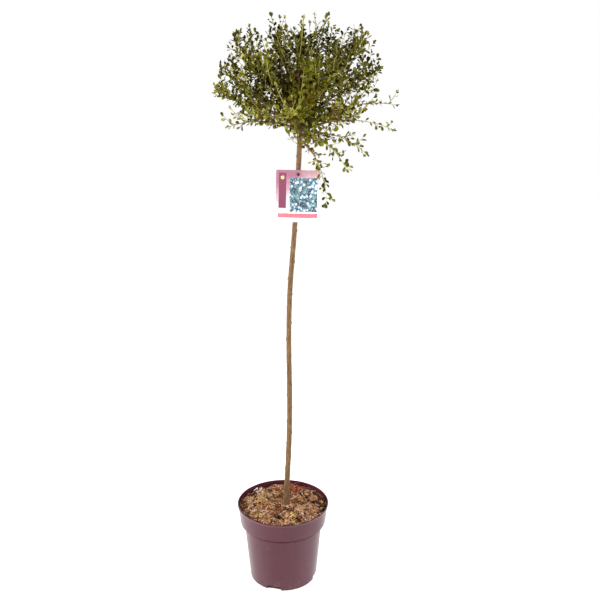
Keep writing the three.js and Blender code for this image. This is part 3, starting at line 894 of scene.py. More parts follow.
def shown(name, data):
    piece = bpy.data.objects.new(name, data)
    bpy.context.scene.collection.objects.link(piece)
    return piece


def stand_for(piece, slot, *nodes):
    """Ties a finished piece to the plant's one body, and hides the solids it stands for; its material slot is
    not used.
    """
    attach(piece, "root")
    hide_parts(*nodes)


# Finishes


def paint(red, green, blue):
    """A colour of 0 to 255 as the eye reads it, turned to light levels."""
    shares = (value / 255 for value in (red, green, blue))
    return tuple(s / 12.92 if s <= 0.04045 else ((s + 0.055) / 1.055) ** 2.4 for s in shares) + (1.0,)


def light_of(colour):
    """A colour's light levels: four numbers are such levels already, three are as the eye reads them."""
    return colour if len(colour) == 4 else paint(*colour)


def fill(tree, socket, value):
    """Links a socket to a level or an output, or sets its value."""
    value = value.socket if isinstance(value, Level) else value
    if isinstance(value, bpy.types.NodeSocket):
        tree.links.new(value, socket)
    else:
        socket.default_value = light_of(value) if socket.type == "RGBA" else value


def add_node(tree, kind, sockets, output=0, **settings):
    """Adds a node: its settings first, then the values or links of its sockets. Gives one of its outputs."""
    made = tree.nodes.new(kind)
    for key, value in settings.items():
        setattr(made, key, value)
    for key, value in sockets.items():
        by_name = (s for s in made.inputs if key in (s.identifier, s.name) and s.enabled)
        fill(tree, made.inputs[key] if isinstance(key, int) else next(by_name), value)
    return made.outputs[output]


def set_stops(output, stops):
    """Sets the places and colours of the ramp that an output belongs to."""
    elements = output.node.color_ramp.elements
    while len(elements) < len(stops):
        elements.new(1.0)
    for element, (place, colour) in zip(elements, stops):
        element.position, element.color = place, light_of(colour)


def sum_of(operation, swapped=False):
    """A method of Level that works out one kind of sum with another level or a number."""

    def work(self, other):
        return self.maths(operation, *((other, self) if swapped else (self, other)))

    return work


class Level:
    """One value of a finish. Sums on it add the Math nodes that work it out."""

    def __init__(self, finish, socket):
        self.finish, self.socket = finish, socket

    def maths(self, operation, first, second=0.0, clamp=False):
        return self.finish.node("Math", {0: first, 1: second}, operation=operation, use_clamp=clamp)

    __add__ = __radd__ = sum_of("ADD")
    __mul__ = __rmul__ = sum_of("MULTIPLY")
    __sub__, __rsub__ = sum_of("SUBTRACT"), sum_of("SUBTRACT", swapped=True)
    __truediv__, __pow__ = sum_of("DIVIDE"), sum_of("POWER")
    __lt__, __gt__ = sum_of("LESS_THAN"), sum_of("GREATER_THAN")

    def __abs__(self):
        return self.maths("ABSOLUTE", self)

    def clamped(self):
        return self.maths("ADD", self, 0.0, clamp=True)

    def rise(self, low, high):
        """0 below low and 1 above high."""
        return self.maths("DIVIDE", self - low, high - low, clamp=True)


class Finish:
    """A material round one Principled shader, worked out on the piece's own place in the scene."""

    def __init__(self, name, **constants):
        self.material = bpy.data.materials.new(name)
        self.material.use_nodes = True
        self.tree = self.material.node_tree
        self.tree.nodes.clear()
        self.shader = self.tree.nodes.new("ShaderNodeBsdfPrincipled")
        surface = self.tree.nodes.new("ShaderNodeOutputMaterial")
        self.tree.links.new(self.shader.outputs["BSDF"], surface.inputs["Surface"])
        self.wear(**constants)

    def wear(self, **values):
        """Fills the shader's inputs, such as base_color."""
        for key, value in values.items():
            name = key.replace("_", " ").title().replace("Ior", "IOR")
            fill(self.tree, self.shader.inputs[name], value)

    def node(self, kind, sockets, output=0, **settings):
        return Level(self, add_node(self.tree, "ShaderNode" + kind, sockets, output, **settings))

    def place(self, stretch=(1, 1, 1)):
        """The place on the piece in metres, with a stretch along each axis."""
        place = self.node("TexCoord", {}, "Object")
        return place if stretch == (1, 1, 1) else self.node("Mapping", {"Scale": stretch, "Vector": place})

    def axes(self, names, place=None):
        return [self.node("SeparateXYZ", {"Vector": place or self.place()}, name) for name in names]

    def noise(self, scale, detail=3.0, roughness=0.55, stretch=(1, 1, 1), distortion=0.0, place=None):
        sockets = {"Vector": place or self.place(stretch), "Scale": scale, "Detail": detail}
        return self.node("TexNoise", {**sockets, "Roughness": roughness, "Distortion": distortion})

    def blend(self, share, first, second):
        sockets = {"Factor_Float": share, "A_Color": first, "B_Color": second}
        return self.node("Mix", sockets, output=2, data_type="RGBA")

    def layered(self, tone, *layers):
        """A tone with layers over it, each a share and a colour."""
        for share, colour in layers:
            tone = self.blend(share, tone, colour)
        return tone

    def ramp(self, share, *stops):
        made = self.node("ValToRGB", {"Fac": share})
        set_stops(made.socket, stops)
        return made

    def bump(self, height, distance, strength=1.0):
        sockets = {"Height": height, "Distance": distance, "Strength": strength}
        self.wear(normal=self.node("Bump", sockets, "Normal"))


# Two tones of each kind of leaf; deep is a painted shade, dealt inside the head
LEAF_COLOURS = {
    "deep": ((20, 16, 0), (34, 30, 0)),
    "dark": ((36, 34, 0), (58, 54, 0)),
    "mid": ((70, 66, 0), (98, 92, 4)),
    "olive": ((104, 97, 0), (130, 121, 18)),
    "young": ((134, 131, 42), (166, 162, 82)),
    "fresh": ((88, 88, 0), (116, 114, 22)),
    "old": ((80, 42, 25), (118, 70, 42)),
}


def leaf_finish(name, deep, light, roughness):
    """Leaf skin: two near tones that drift from leaf to leaf, and a waxy gloss."""
    skin = Finish(name, specular_ior_level=0.06, coat_roughness=0.25)
    skin.wear(base_color=skin.blend(skin.noise(62, detail=2).rise(0.32, 0.68), deep, light))
    skin.wear(roughness=roughness + 0.12 * skin.noise(140, detail=1))
    skin.wear(coat_weight=0.14 * skin.noise(90, detail=1).rise(0.52, 0.68))
    skin.bump(skin.noise(900, detail=2), 0.0004, 0.35)
    return skin.material


# Two tones of each bark and the colour of its patches, then the scale of its grain and its relief in metres
BARKS = {
    "stem_bark": ((84, 60, 34), (130, 98, 60), (136, 118, 80), 420, 0.0007),
    "bough_bark": ((98, 69, 44), (144, 107, 68), (146, 118, 78), 520, 0.0005),
    "old_twig_bark": ((106, 64, 38), (152, 102, 60), (172, 110, 64), 600, 0.0003),
    "young_twig_bark": ((122, 122, 46), (164, 160, 78), (158, 124, 66), 600, 0.0002),
}


def bark_finish(name):
    """Bark: streaks along the limb, lighter patches and fine pores."""
    deep, light, patch, scale, relief = BARKS[name]
    bark = Finish(name, specular_ior_level=0.35)
    streaks = bark.noise(scale, detail=4, stretch=(1, 1, 0.12), distortion=0.4)
    patches = bark.noise(scale * 0.16)
    pores = bark.noise(scale * 2.6, detail=2, stretch=(0.5, 0.5, 1))
    wood = bark.layered(
        bark.blend(streaks.rise(0.3, 0.7), deep, light),
        (patches.rise(0.52, 0.72) * 0.6, patch),
        (pores.rise(0.66, 0.74) * 0.7, (176, 158, 116)),
    )
    bark.wear(base_color=wood, roughness=0.62 + 0.25 * patches)
    bark.bump(streaks + 0.5 * pores, relief)
    return bark.material


def pot_finish():
    """Satin moulded plastic: clouding, scuffs, dust low down, and painted shade under the collar, at the foot
    and inside the notches.
    """
    plastic = Finish("satin_maroon_plastic", specular_ior_level=0.2, coat_roughness=0.2)
    clouds = plastic.noise(11)
    grain = plastic.noise(1300, detail=2)
    scuffs = plastic.noise(70, detail=4, stretch=(1, 1, 5), distortion=0.8).rise(0.64, 0.72)
    specks = plastic.noise(190, detail=1).rise(0.735, 0.755)
    x, y, height = plastic.axes("XYZ")
    dust_height, foot, step = 0.03, (0.0008, 0.003), POT.shoulder_height * MM
    dust = (1 - height.rise(0.0, dust_height)) * plastic.noise(120, detail=4).rise(0.45, 0.75)
    # Painted shade: the inside of the drain notches is painted dark
    notch_painted_shade = (height < NOTCH.height * MM) * ((x * x + y * y) ** 0.5 < (POT.base - POT.wall) * MM)
    # Painted shade: a dark band on the body under the collar's overhang, where the gloss is also dulled
    collar_painted_shade = height.rise(step - 0.0095, step - 0.004) * (height < step + 0.0011)
    tone = plastic.layered(
        plastic.blend(clouds.rise(0.3, 0.7), (71, 17, 34), (80, 26, 44)),
        (scuffs * 0.2, (140, 104, 112)),
        (dust * 0.25, (140, 116, 108)),
        (specks * 0.8, (58, 34, 40)),
        (notch_painted_shade * 0.9, (30, 20, 22)),
        (collar_painted_shade * 0.55, (44, 18, 26)),
        # painted shade along the rounded edge of the foot
        ((1 - height.rise(*foot)) * 0.6, (58, 44, 48)),
    )
    plastic.wear(base_color=tone, coat_weight=0.5 * (1 - collar_painted_shade))
    plastic.wear(roughness=0.3 + 0.12 * clouds + 0.2 * scuffs + 0.2 * dust + 0.5 * collar_painted_shade)
    plastic.bump(grain + 0.6 * clouds, 0.00012, 0.5)
    return plastic.material


def damp_and_painted_shade(finish, most):
    """How far the potting mix is darkened low between its bits, up to a given share: moisture, and painted
    shade in its hollows.
    """
    (height,) = finish.axes("Z")
    return most * (1 - height.rise(*SOIL.damp_and_painted_shade))


def bit_finish(name, deep, light):
    """Bits of bark, fibre and peat: two tones of one colour, dull and a little rough."""
    bits = Finish(name, specular_ior_level=0.2)
    tone = bits.blend(bits.noise(230, detail=2).rise(0.34, 0.66), deep, light)
    # darker low between the bits: moisture and painted shade
    bits.wear(base_color=bits.blend(damp_and_painted_shade(bits, 0.7), tone, (40, 24, 17)))
    bits.wear(roughness=0.74 + 0.2 * bits.noise(500))
    bits.bump(bits.noise(1500, stretch=(1, 1, 0.4)), 0.0005, 0.7)
    return bits.material


def soil_finish():
    """The fine bed under the bits: crumbs of four tones."""
    ground = Finish("potting_mix_damp_and_painted_shade", specular_ior_level=0.2)
    crumbs = ground.noise(230, detail=6, roughness=0.75)
    tone = ground.ramp(
        0.7 * crumbs + 0.3 * ground.noise(48),
        (0.38, (40, 22, 15)),
        (0.46, (90, 54, 35)),
        (0.54, (158, 108, 72)),
        (0.64, (236, 192, 146)),
    )
    # darker low in the hollows: moisture and painted shade
    ground.wear(base_color=ground.blend(damp_and_painted_shade(ground, 0.8), tone, (34, 20, 14)), roughness=0.8 + 0.15 * crumbs)
    ground.bump(crumbs, 0.002)
    return ground.material


# Pot


def arc(centre, radius, start, end, steps):
    """Profile points on part of a circle, angles in degrees from the outward direction."""
    angles = np.radians(np.linspace(start, end, steps + 1))
    return [(centre[0] + radius * math.cos(a), centre[1] + radius * math.sin(a)) for a in angles]


def turned(heap, profile, segments):
    """A closed body turned about the axis; the profile starts and ends on it."""
    turns = circle(segments)
    ring = np.stack([np.cos(turns), np.sin(turns)], -1)
    points = [np.column_stack([radius * ring, np.full(segments, z)]) for radius, z in profile[1:-1]]
    ends = [(0, 0, profile[0][1]), (0, 0, profile[-1][1])]
    hub = segments * len(points)
    caps = np.vstack([fan(segments, hub, 0, back=True), fan(segments, hub + 1, hub - segments)])
    heap.add(np.vstack([*points, ends]), bands(segments, len(points), outward=True), caps)


def pot_profile():
    """The wall's section from the middle of the underside, up the outside, over the rim and down inside."""
    wall, lip, edge = POT.wall, POT.wall / 2, POT.base_edge
    step, ledge = POT.shoulder_height, POT.shoulder_height + wall
    inner_round, outer_round = POT.step_rounds
    neck, neck_height = POT.rim - POT.bead[1], POT.height - POT.bead[0]
    lean = (neck - POT.collar_foot) / (neck_height - step)
    base = [(0, 0), (20, 0), (45, 0), (POT.base - edge, 0), *arc((POT.base - edge, edge), edge, -80, -6, 6)]
    body = [(mix(POT.base, POT.shoulder, s), mix(edge, step, s)) for s in (0.03, 0.3, 0.65, 0.97)]
    body += arc((POT.shoulder + inner_round, step - inner_round), inner_round, 170, 90, 3)
    collar = arc((POT.collar_foot - outer_round, step + outer_round), outer_round, -90, -5, 4)
    collar += [(POT.collar_foot + lean * h, step + h) for h in (2, 12, 24, 35)]
    bead = [(neck, neck_height - 0.8), (POT.rim - 0.6, neck_height + 0.3), (POT.rim - 0.1, neck_height + 1.2)]
    rim = arc((POT.rim - lip, POT.height - lip), lip, -3, 183, 10)
    inside = [(POT.collar_foot - wall + 0.3, ledge + 1), (POT.collar_foot - wall - 0.6, ledge)]
    inside += [(POT.shoulder - wall, ledge), (POT.base - wall, POT.floor), (30, POT.floor), (0, POT.floor)]
    return base + body + collar + bead + rim + inside


def notch_cutter():
    """The drain notches' blocks, with rounded upper corners, as one mesh."""
    heap = Heap()
    half, top, corner = NOTCH.width / 2, NOTCH.height, NOTCH.corner
    outline = [(-half, -NOTCH.below), (half, -NOTCH.below)]
    outline += arc((half - corner, top - corner), corner, 0, 90, 4)
    outline += arc((corner - half, top - corner), corner, 90, 180, 4)
    outline = np.array(outline)
    for i in range(NOTCH.count):
        turn = math.radians(NOTCH.first_azimuth + 360 * i / NOTCH.count)
        out = np.array([math.cos(turn), math.sin(turn), 0])
        side = np.array([-math.sin(turn), math.cos(turn), 0])
        flat = outline[:, :1] * side + outline[:, 1:] * UP
        ends = [(POT.base + reach) * out + flat for reach in (-NOTCH.depth, NOTCH.reach)]
        heap.add(np.vstack(ends), *block_faces(len(outline), 2))
    return heap.mesh("notch_blocks", [])


def plain_mesh(piece):
    """The piece's mesh with its modifiers worked in, and none left on it."""
    evaluated = piece.evaluated_get(bpy.context.evaluated_depsgraph_get())
    mesh = bpy.data.meshes.new_from_object(evaluated)
    piece.modifiers.clear()
    piece.data = mesh
    return mesh


def make_pot():
    heap = Heap()
    turned(heap, pot_profile(), POT.segments)
    pot = shown("nursery_pot", heap.mesh("nursery_pot", [pot_finish()]))
    cutter = shown("notch_blocks", notch_cutter())
    cut = pot.modifiers.new("notches", "BOOLEAN")
    cut.operation, cut.solver, cut.object = "DIFFERENCE", "EXACT", cutter
    plain_mesh(pot).set_sharp_from_angle(angle=math.radians(POT.sharp_angle))
    bpy.data.objects.remove(cutter)
    stand_for(pot, "pot_plastic", "pot")


# Potting mix


def soil_height(x, y):
    """The height of the potting mix at a place: the solid's own relief, with a finer crumble on it."""
    foot_x, foot_y, _ = TRUNK.line[0]
    from_foot = math.hypot(x - foot_x, y - foot_y)
    relief = sum(share * math.sin(x / pitch_x + y / pitch_y) for pitch_x, pitch_y, share in SOIL.waves)
    relief *= SOIL.relief * smooth(from_foot, SOIL.flat_radius, SOIL.relief_radius)
    lumps = sum(high * noise.noise(Vector((x / pitch, y / pitch, pitch))) for pitch, high in SOIL.lumps)
    pitch, share, depth = SOIL.hollows
    hollow = max(0, noise.noise(Vector((x / pitch, y / pitch, 8.3))) - share) * depth
    for dent_x, dent_y, radius, deep in SOIL.dents:
        hollow += deep * math.exp(-2 * ((x - dent_x) ** 2 + (y - dent_y) ** 2) / radius**2)
    return SOIL.level + relief + lumps - hollow * smooth(from_foot, *SOIL.even_foot)


def collar_inside(z):
    """How far out the potting mix may reach in the collar at a height."""
    share = (z - POT.shoulder_height) / (POT.height - POT.shoulder_height)
    return mix(POT.collar_foot, POT.rim, share) - POT.wall - GAP


def make_soil():
    """The bed of potting mix, down to its hidden underside."""
    ledge = POT.shoulder_height + POT.wall + GAP
    edge = collar_inside(SOIL.level)
    profile = [
        (0, SOIL.foot),
        (POT.base - POT.wall - GAP, SOIL.foot),
        (POT.shoulder - POT.wall - GAP, ledge),
        (collar_inside(ledge), ledge + 1.5),
        (edge, SOIL.level - 1),
    ]
    profile += [((edge - 0.4) * (1 - i / SOIL.rings), SOIL.level) for i in range(SOIL.rings + 1)]
    heap = Heap()
    turned(heap, profile, SOIL.segments)
    points = heap.points[0]
    top = points[:, 2] == SOIL.level
    points[top, 2] = [soil_height(x, y) for x, y, _ in points[top]]
    soil = shown("potting_mix_bed", heap.mesh("potting_mix_bed", [soil_finish()]))
    stand_for(soil, "potting_mix", "potting_mix")


def soil_sheet(beds):
    """The open top of the potting mix in round beds, each a place and a radius, for bits to lie on."""
    heap = Heap()
    rings, segments = 16, 48
    for x, y, radius in beds:
        flat = [(x, y)]
        for r in radius * np.arange(1, rings + 1) / rings:
            flat += [(x + r * math.cos(turn), y + r * math.sin(turn)) for turn in circle(segments)]
        heap.add([(*spot, soil_height(*spot)) for spot in flat], *disc_faces(segments, rings))
    return heap.mesh("soil_sheet", [])


def flake_mesh():
    """A flake of bark, 1 mm long each way before it is sized, with broken edges."""
    heap = Heap()
    outline = [(-0.5, -0.16), (-0.2, -0.4), (0.25, -0.34), (0.5, -0.1), (0.42, 0.3), (0.05, 0.42)]
    outline.append((-0.38, 0.26))
    layers = [(0.82, -0.5, 0.05), (1.0, 0.1, 0.0), (0.74, 0.5, -0.06)]  # a scale, a height and a shift
    points = [(scale * x + shift, scale * y - shift, z) for scale, z, shift in layers for x, y in outline]
    heap.add(points, *block_faces(len(outline), len(layers)))
    return heap.mesh("bark_flake", [], sharp_angle=30)


def strand_mesh():
    """A bent fibre, 1 mm long before it is sized."""
    heap = Heap()
    line = [(-0.5, 0.0, 0.0), (-0.25, 0.09, 0.04), (0.0, 0.12, 0.05), (0.27, 0.06, 0.02), (0.5, -0.08, 0.0)]
    heap.add_tube(np.array(line), [0.02, 0.034, 0.036, 0.03, 0.015], 4)
    return heap.mesh("coir_strand", [])


def crumb_mesh():
    """A rough crumb, 1 mm across before it is sized."""
    heap = Heap()
    points = [(0, 0, -0.42), (0.46, 0.05, -0.12), (0.1, 0.5, -0.08), (-0.44, 0.2, -0.16)]
    points += [(-0.28, -0.42, -0.1), (0.26, -0.38, -0.14), (0.3, 0.26, 0.26), (-0.22, 0.3, 0.3)]
    points += [(-0.3, -0.16, 0.28), (0.18, -0.2, 0.36)]
    faces = [(0, 2, 1), (0, 3, 2), (0, 4, 3), (0, 5, 4), (0, 1, 5), (1, 2, 6), (2, 7, 6), (2, 3, 7)]
    faces += [(3, 8, 7), (3, 4, 8), (4, 5, 9), (4, 9, 8), (5, 1, 9), (1, 6, 9), (6, 7, 9), (7, 8, 9)]
    heap.add(points, faces)
    return heap.mesh("peat_crumb", [], sharp_angle=30)


SCATTER_INPUTS = {
    "Surface": "Geometry",
    "Bit": "Object",
    "Per square metre": "Float",
    "Patches per metre": "Float",
    "Bare share": "Float",
    "Smallest": "Vector",
    "Largest": "Vector",
    "Tilt": "Float",
    "Lift": "Float",
    "Seed": "Int",
    "Finish": "Material",
}


def scatter_tree():
    """Copies of one bit, strewn in patches over a surface, at random turns and sizes."""
    tree = bpy.data.node_groups.new("strewn_bits", "GeometryNodeTree")
    keys = {}
    for name, kind in SCATTER_INPUTS.items():
        made = tree.interface.new_socket(name=name, in_out="INPUT", socket_type="NodeSocket" + kind)
        keys[name] = made.identifier
    tree.interface.new_socket(name="Bits", in_out="OUTPUT", socket_type="NodeSocketGeometry")
    given = tree.nodes.new("NodeGroupInput").outputs
    tilt, seed, bare = (given[name] for name in ("Tilt", "Seed", "Bare share"))

    def node(kind, sockets, output=0, **settings):
        return add_node(tree, kind, sockets, output, **settings)

    def maths(operation, first, second):
        return node("ShaderNodeMath", {0: first, 1: second}, operation=operation)

    def corner(x, y, z):
        return node("ShaderNodeCombineXYZ", {"X": x, "Y": y, "Z": z})

    def drawn(least, most, seed):
        sockets = {"Min": least, "Max": most, "Seed": seed}
        return node("FunctionNodeRandomValue", sockets, data_type="FLOAT_VECTOR")

    place = node("GeometryNodeInputPosition", {})
    spot = node("ShaderNodeVectorMath", {0: place, 1: corner(0, 0, seed)}, operation="ADD")
    patches = node("ShaderNodeTexNoise", {"Vector": spot, "Scale": given["Patches per metre"], "Detail": 1.5})
    soft_edge = {"Value": patches, "From Min": bare, "From Max": maths("ADD", bare, 0.08)}
    share = node("ShaderNodeMapRange", soft_edge, clamp=True)
    density = maths("MULTIPLY", given["Per square metre"], share)
    strewn = {"Mesh": given["Surface"], "Density": density, "Seed": seed}
    points = node("GeometryNodeDistributePointsOnFaces", strewn)
    lifted = node("GeometryNodeSetPosition", {"Geometry": points, "Offset": corner(0, 0, given["Lift"])})
    back = maths("MULTIPLY", tilt, -1.0)
    turn = drawn(corner(back, back, 0), corner(tilt, tilt, 2 * math.pi), seed)
    copies = {
        "Points": lifted,
        "Instance": node("GeometryNodeObjectInfo", {"Object": given["Bit"]}, "Geometry"),
        "Rotation": node("FunctionNodeEulerToRotation", {"Euler": turn}),
        "Scale": drawn(given["Smallest"], given["Largest"], maths("ADD", seed, 11.0)),
    }
    real = node("GeometryNodeRealizeInstances", {"Geometry": node("GeometryNodeInstanceOnPoints", copies)})
    dressed = node("GeometryNodeSetMaterial", {"Geometry": real, "Material": given["Finish"]})
    tree.links.new(dressed, tree.nodes.new("NodeGroupOutput").inputs["Bits"])
    return tree, keys


# The shape of each kind of bit, by the first word of its name
BIT_SHAPES = {
    "bark": flake_mesh,
    "straw": flake_mesh,
    "chips": flake_mesh,
    "coir": strand_mesh,
    "fibre": strand_mesh,
    "peat": crumb_mesh,
    "humus": crumb_mesh,
}

BITS_SEED = 3  # of the first kind, and each next kind has the next

# A row for each kind: name, two tones, how many if they lay all over, the bare share of the ground, its
# smallest and largest size, how far it tips, how high it lies, and the beds that it keeps to, if any
BITS = [
    ("bark_large", (120, 84, 62), (208, 166, 136), 80, 0.42, (8.6, 6, 2.1), (16.3, 10.3, 4.3), 0.6, 1.4),
    ("bark_black", (36, 22, 16), (74, 47, 34), 220, 0.47, (6, 4.3, 1.4), (12.9, 8.6, 3.4), 0.7, 0.6),
    ("bark_dark", (60, 35, 24), (112, 69, 47), 910, 0.4, (4.3, 2.9, 0.7), (11.2, 6.5, 2.2), 0.7, 0.6),
    ("bark_brown", (134, 82, 54), (208, 140, 98), 1170, 0.38, (3.4, 2.1, 0.6), (10.3, 4.3, 1.7), 0.8, 0.9),
    ("bark_red", (128, 58, 38), (197, 105, 67), 550, 0.5, (3.4, 1.7, 0.5), (10.3, 4.3, 1.5), 0.7, 0.9),
    ("bark_tan", (190, 134, 92), (252, 206, 160), 1170, 0.4, (3.4, 1.7, 0.6), (9.5, 3.9, 1.7), 0.8, 1.1),
    ("coir_brown", (110, 70, 42), (184, 125, 78), 330, 0.35, (9, 8, 15), (26, 18, 22), 0.4, 1.1),
    ("coir_pale", (220, 176, 132), (252, 230, 194), 330, 0.42, (7, 8, 15), (20, 18, 21), 0.45, 1.5),
    ("coir_gold", (202, 155, 69), (255, 213, 112), 260, 0.5, (6, 7, 13), (18, 16, 18), 0.45, 1.3),
    ("peat_dark", (30, 18, 13), (78, 48, 34), 2500, 0.42, (1.7, 1.7, 1.4), (5.6, 4.7, 3.4), 3.1, 0.2),
    ("peat_pale", (213, 179, 143), (255, 251, 226), 910, 0.5, (1, 1, 0.9), (3.8, 3.1, 2.4), 3.1, 0.8),
    ("straw_bits", (224, 186, 76), (255, 240, 143), 260, 0.54, (2.6, 1.4, 0.5), (8.6, 3.4, 1.2), 0.7, 1.4),
    ("fibre_red", (116, 54, 40), (204, 121, 90), 80, 0.0, (10, 16, 18), (26, 34, 28), 0.6, 2.0,
     (24, 62, 19), (-9, -14, 8)),
    ("straw_yellow", (236, 186, 70), (255, 236, 140), 5, 0.0, (6, 3, 1), (12, 5, 2), 0.35, 2.0, (19, -45, 9)),
    ("humus_dark", (24, 15, 11), (54, 34, 25), 760, 0.0, (2, 2, 1.4), (6, 5, 3), 3.1, 0.4,
     (14, -17, 10), (46, 41, 14), (31, -49, 9), (-1, -49, 8), (68, 14, 9), (-27, 54, 7)),
    ("peat_gold", (164, 118, 56), (234, 192, 104), 760, 0.0, (1.4, 1.4, 1), (4, 3.4, 2.4), 3.1, 1.3,
     (-41, 14, 17), (43, -10, 14), (28, -66, 12)),
    ("chips_pale", (206, 178, 150), (250, 238, 220), 90, 0.0, (2, 1.2, 0.8), (6, 3, 1.6), 0.9, 1.5,
     (-53, -35, 16), (76, -9, 7), (-44, 52, 12), (52, -54, 10)),
    ("bark_curl", (112, 72, 50), (206, 152, 112), 3, 0.0, (18, 10, 5), (24, 14, 8), 0.5, 3.0, (66, 27, 8)),
    ("peat_white", (240, 224, 208), (255, 255, 253), 30, 0.0, (2, 2, 1.6), (7, 4, 3), 3.1, 1.2,
     (-54, 58, 13)),
]


def strew(seed, tree, keys, name, deep, light, count, bare, smallest, largest, tilt, lift, *beds):
    """One kind of bit, strewn over its beds, or else all over the potting mix."""
    clear_of_pot = collar_inside(SOIL.level) - 0.55 * largest[0] - 1
    beds = beds or [(0, 0, clear_of_pot)]
    area = sum(math.pi * (radius * MM) ** 2 for _, _, radius in beds)
    bit = shown(name + "_bit", BIT_SHAPES[name.split("_")[0]]())
    piece = shown(name, soil_sheet(beds))
    values = {
        "Bit": bit,
        "Per square metre": count / area,
        "Patches per metre": 24.0,
        "Bare share": bare,
        "Smallest": smallest,
        "Largest": largest,
        "Tilt": tilt,
        "Lift": lift * MM,
        "Seed": seed,
        "Finish": bit_finish(name, deep, light),
    }
    modifier = piece.modifiers.new("strewn", "NODES")
    modifier.node_group = tree
    for key, value in values.items():
        modifier[keys[key]] = value
    plain_mesh(piece).name = name
    bpy.data.objects.remove(bit)
    stand_for(piece, "potting_mix", "potting_mix")


def make_bits():
    tree, keys = scatter_tree()
    for number, row in enumerate(BITS):
        strew(BITS_SEED + number, tree, keys, *row)


# Stem and boughs


WOOD = SimpleNamespace(unevenness=0.09, point_tip=1.2, seed=77)

# Relief of the stem: furrows, and buds one after another up the stem, each with a scar below
FURROWS = SimpleNamespace(round=2.2, pitch=26, relief=0.32, fine_relief=0.12, fine_scale=3.1)
BUDS = SimpleNamespace(
    lowest=24.0,
    below_top=6,
    first_turn=0.7,
    turn_spread=0.5,
    spacing=(20, 16),  # the least, and what is drawn on top
    relief=(0.75, 0.5),
    half_width=0.34,
    half_height=2.3,
    scar=0.22,
    scar_drop=1.5,
    scar_height=1.3,
    seed=41,
)


def stem_rings():
    """The stem's line, and its radii ring by ring."""
    places = np.linspace(0, 1, TRUNK.steps)
    line = spline(TRUNK.line, places)
    heights = line[:, 2] - SOIL.level
    turns = circle(TRUNK.sides)
    radii = np.repeat(trunk_radius(places, heights)[:, None], TRUNK.sides, 1)
    for i, height in enumerate(heights):
        for k, turn in enumerate(turns):
            across, along = FURROWS.round * math.cos(turn), FURROWS.round * math.sin(turn)
            spot = Vector((across, along, height / FURROWS.pitch))
            fine = noise.noise(FURROWS.fine_scale * spot)
            radii[i, k] += FURROWS.relief * noise.noise(spot) + FURROWS.fine_relief * fine
    roll = dice(BUDS.seed)
    height, turn = BUDS.lowest, BUDS.first_turn
    while height < heights[-1] - BUDS.below_top:
        around = np.abs((turns - turn + np.pi) % (2 * np.pi) - np.pi) / BUDS.half_width
        along = (heights - height) / BUDS.half_height
        bump = np.exp(-(along[:, None] ** 2)) * np.exp(-(around[None, :] ** 2))
        scar = BUDS.scar * np.exp(-(((heights - height + BUDS.scar_drop) / BUDS.scar_height) ** 2))
        radii += (BUDS.relief[0] + BUDS.relief[1] * roll()) * bump + scar[:, None]
        height += BUDS.spacing[0] + BUDS.spacing[1] * roll()
        turn += varied(math.pi, BUDS.turn_spread, roll)
    return line, radii


def make_stem():
    heap = Heap()
    line, radii = stem_rings()
    heap.add_tube(line, radii, TRUNK.sides, TRUNK.point_tip)
    points = heap.points[0]
    points[:, 2] = np.maximum(points[:, 2], SOIL.level - TRUNK.sunk)
    stem = shown("trunk_bark", heap.mesh("trunk_bark", [bark_finish("stem_bark")]))
    stand_for(stem, "stem_bark", "trunk")


def nodes_of(kind):
    return [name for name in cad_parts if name.startswith(kind)]


def make_wood():
    """The boughs, and all twigs by the wood they show."""
    roll = dice(WOOD.seed)
    for wood, name, bark, slot, solids in [
        ("bough", "boughs_bark", "bough_bark", "stem_bark", "bough_"),
        ("old", "old_twigs", "old_twig_bark", "twig_bark", "foliage_"),
        ("young", "young_twigs", "young_twig_bark", "twig_bark", "foliage_"),
    ]:
        heap = Heap()
        for limb in (limb for limb in limbs if limb.wood == wood):
            swell = [[varied(1, WOOD.unevenness, roll) for _ in range(limb.sides)] for _ in limb.line]
            radii = limb.radii[:, None] * np.array(swell)
            heap.add_tube(limb.line, radii, limb.sides, WOOD.point_tip * limb.radii[-1])
        stand_for(shown(name, heap.mesh(name, [bark_finish(bark)])), slot, *nodes_of(solids))


# Leaves

# How far along a leaf, and half its width there
LEAF_STATIONS = [(0.11, 0.028), (0.3, 0.27), (0.55, 0.46), (0.78, 0.42), (0.93, 0.24)]


def leaf_shape():
    """One leaf's points (shares of its length, width and thickness), then its quads and triangles by side."""
    rows = [(0.0, 0.0, 0.0)]
    for along, half in LEAF_STATIONS:
        rows += [(along, half, 0.0), (along, -half, 0.0), (along, 0.0, 1.0), (along, 0.0, -1.0)]
    rows.append((1.0, 0.0, 0.0))
    last = len(rows) - 1
    upper, lower = [], []
    for k in range(len(LEAF_STATIONS) - 1):
        right, left, top, under = range(1 + 4 * k, 5 + 4 * k)
        upper += [(top, right, right + 4, top + 4), (left, top, top + 4, left + 4)]
        lower += [(right, under, under + 4, right + 4), (under, left, left + 4, under + 4)]
    upper_ends = [(0, 1, 3), (0, 3, 2), (last - 2, last - 4, last), (last - 3, last - 2, last)]
    lower_ends = [(1, 0, 4), (4, 0, 2), (last - 4, last - 1, last), (last - 1, last - 3, last)]
    return np.array(rows), [(upper, upper_ends), (lower, lower_ends)]


def sharp_leaf_edges(mesh, corners):
    """Marks each leaf's outline and midrib as sharp, so that its two sides and two halves shade apart."""
    table = np.zeros((corners, corners), bool)
    for first in (1, 2, 3):
        chain = [0, *range(first, corners - 1, 4), corners - 1]
        for a, b in zip(chain, chain[1:]):
            table[a, b] = table[b, a] = True
    ends = np.zeros(2 * len(mesh.edges), np.int32)
    mesh.edges.foreach_get("vertices", ends)
    ends = ends.reshape(-1, 2) % corners
    sharp = mesh.attributes.new("sharp_edge", "BOOLEAN", "EDGE")
    sharp.data.foreach_set("value", table[ends[:, 0], ends[:, 1]])


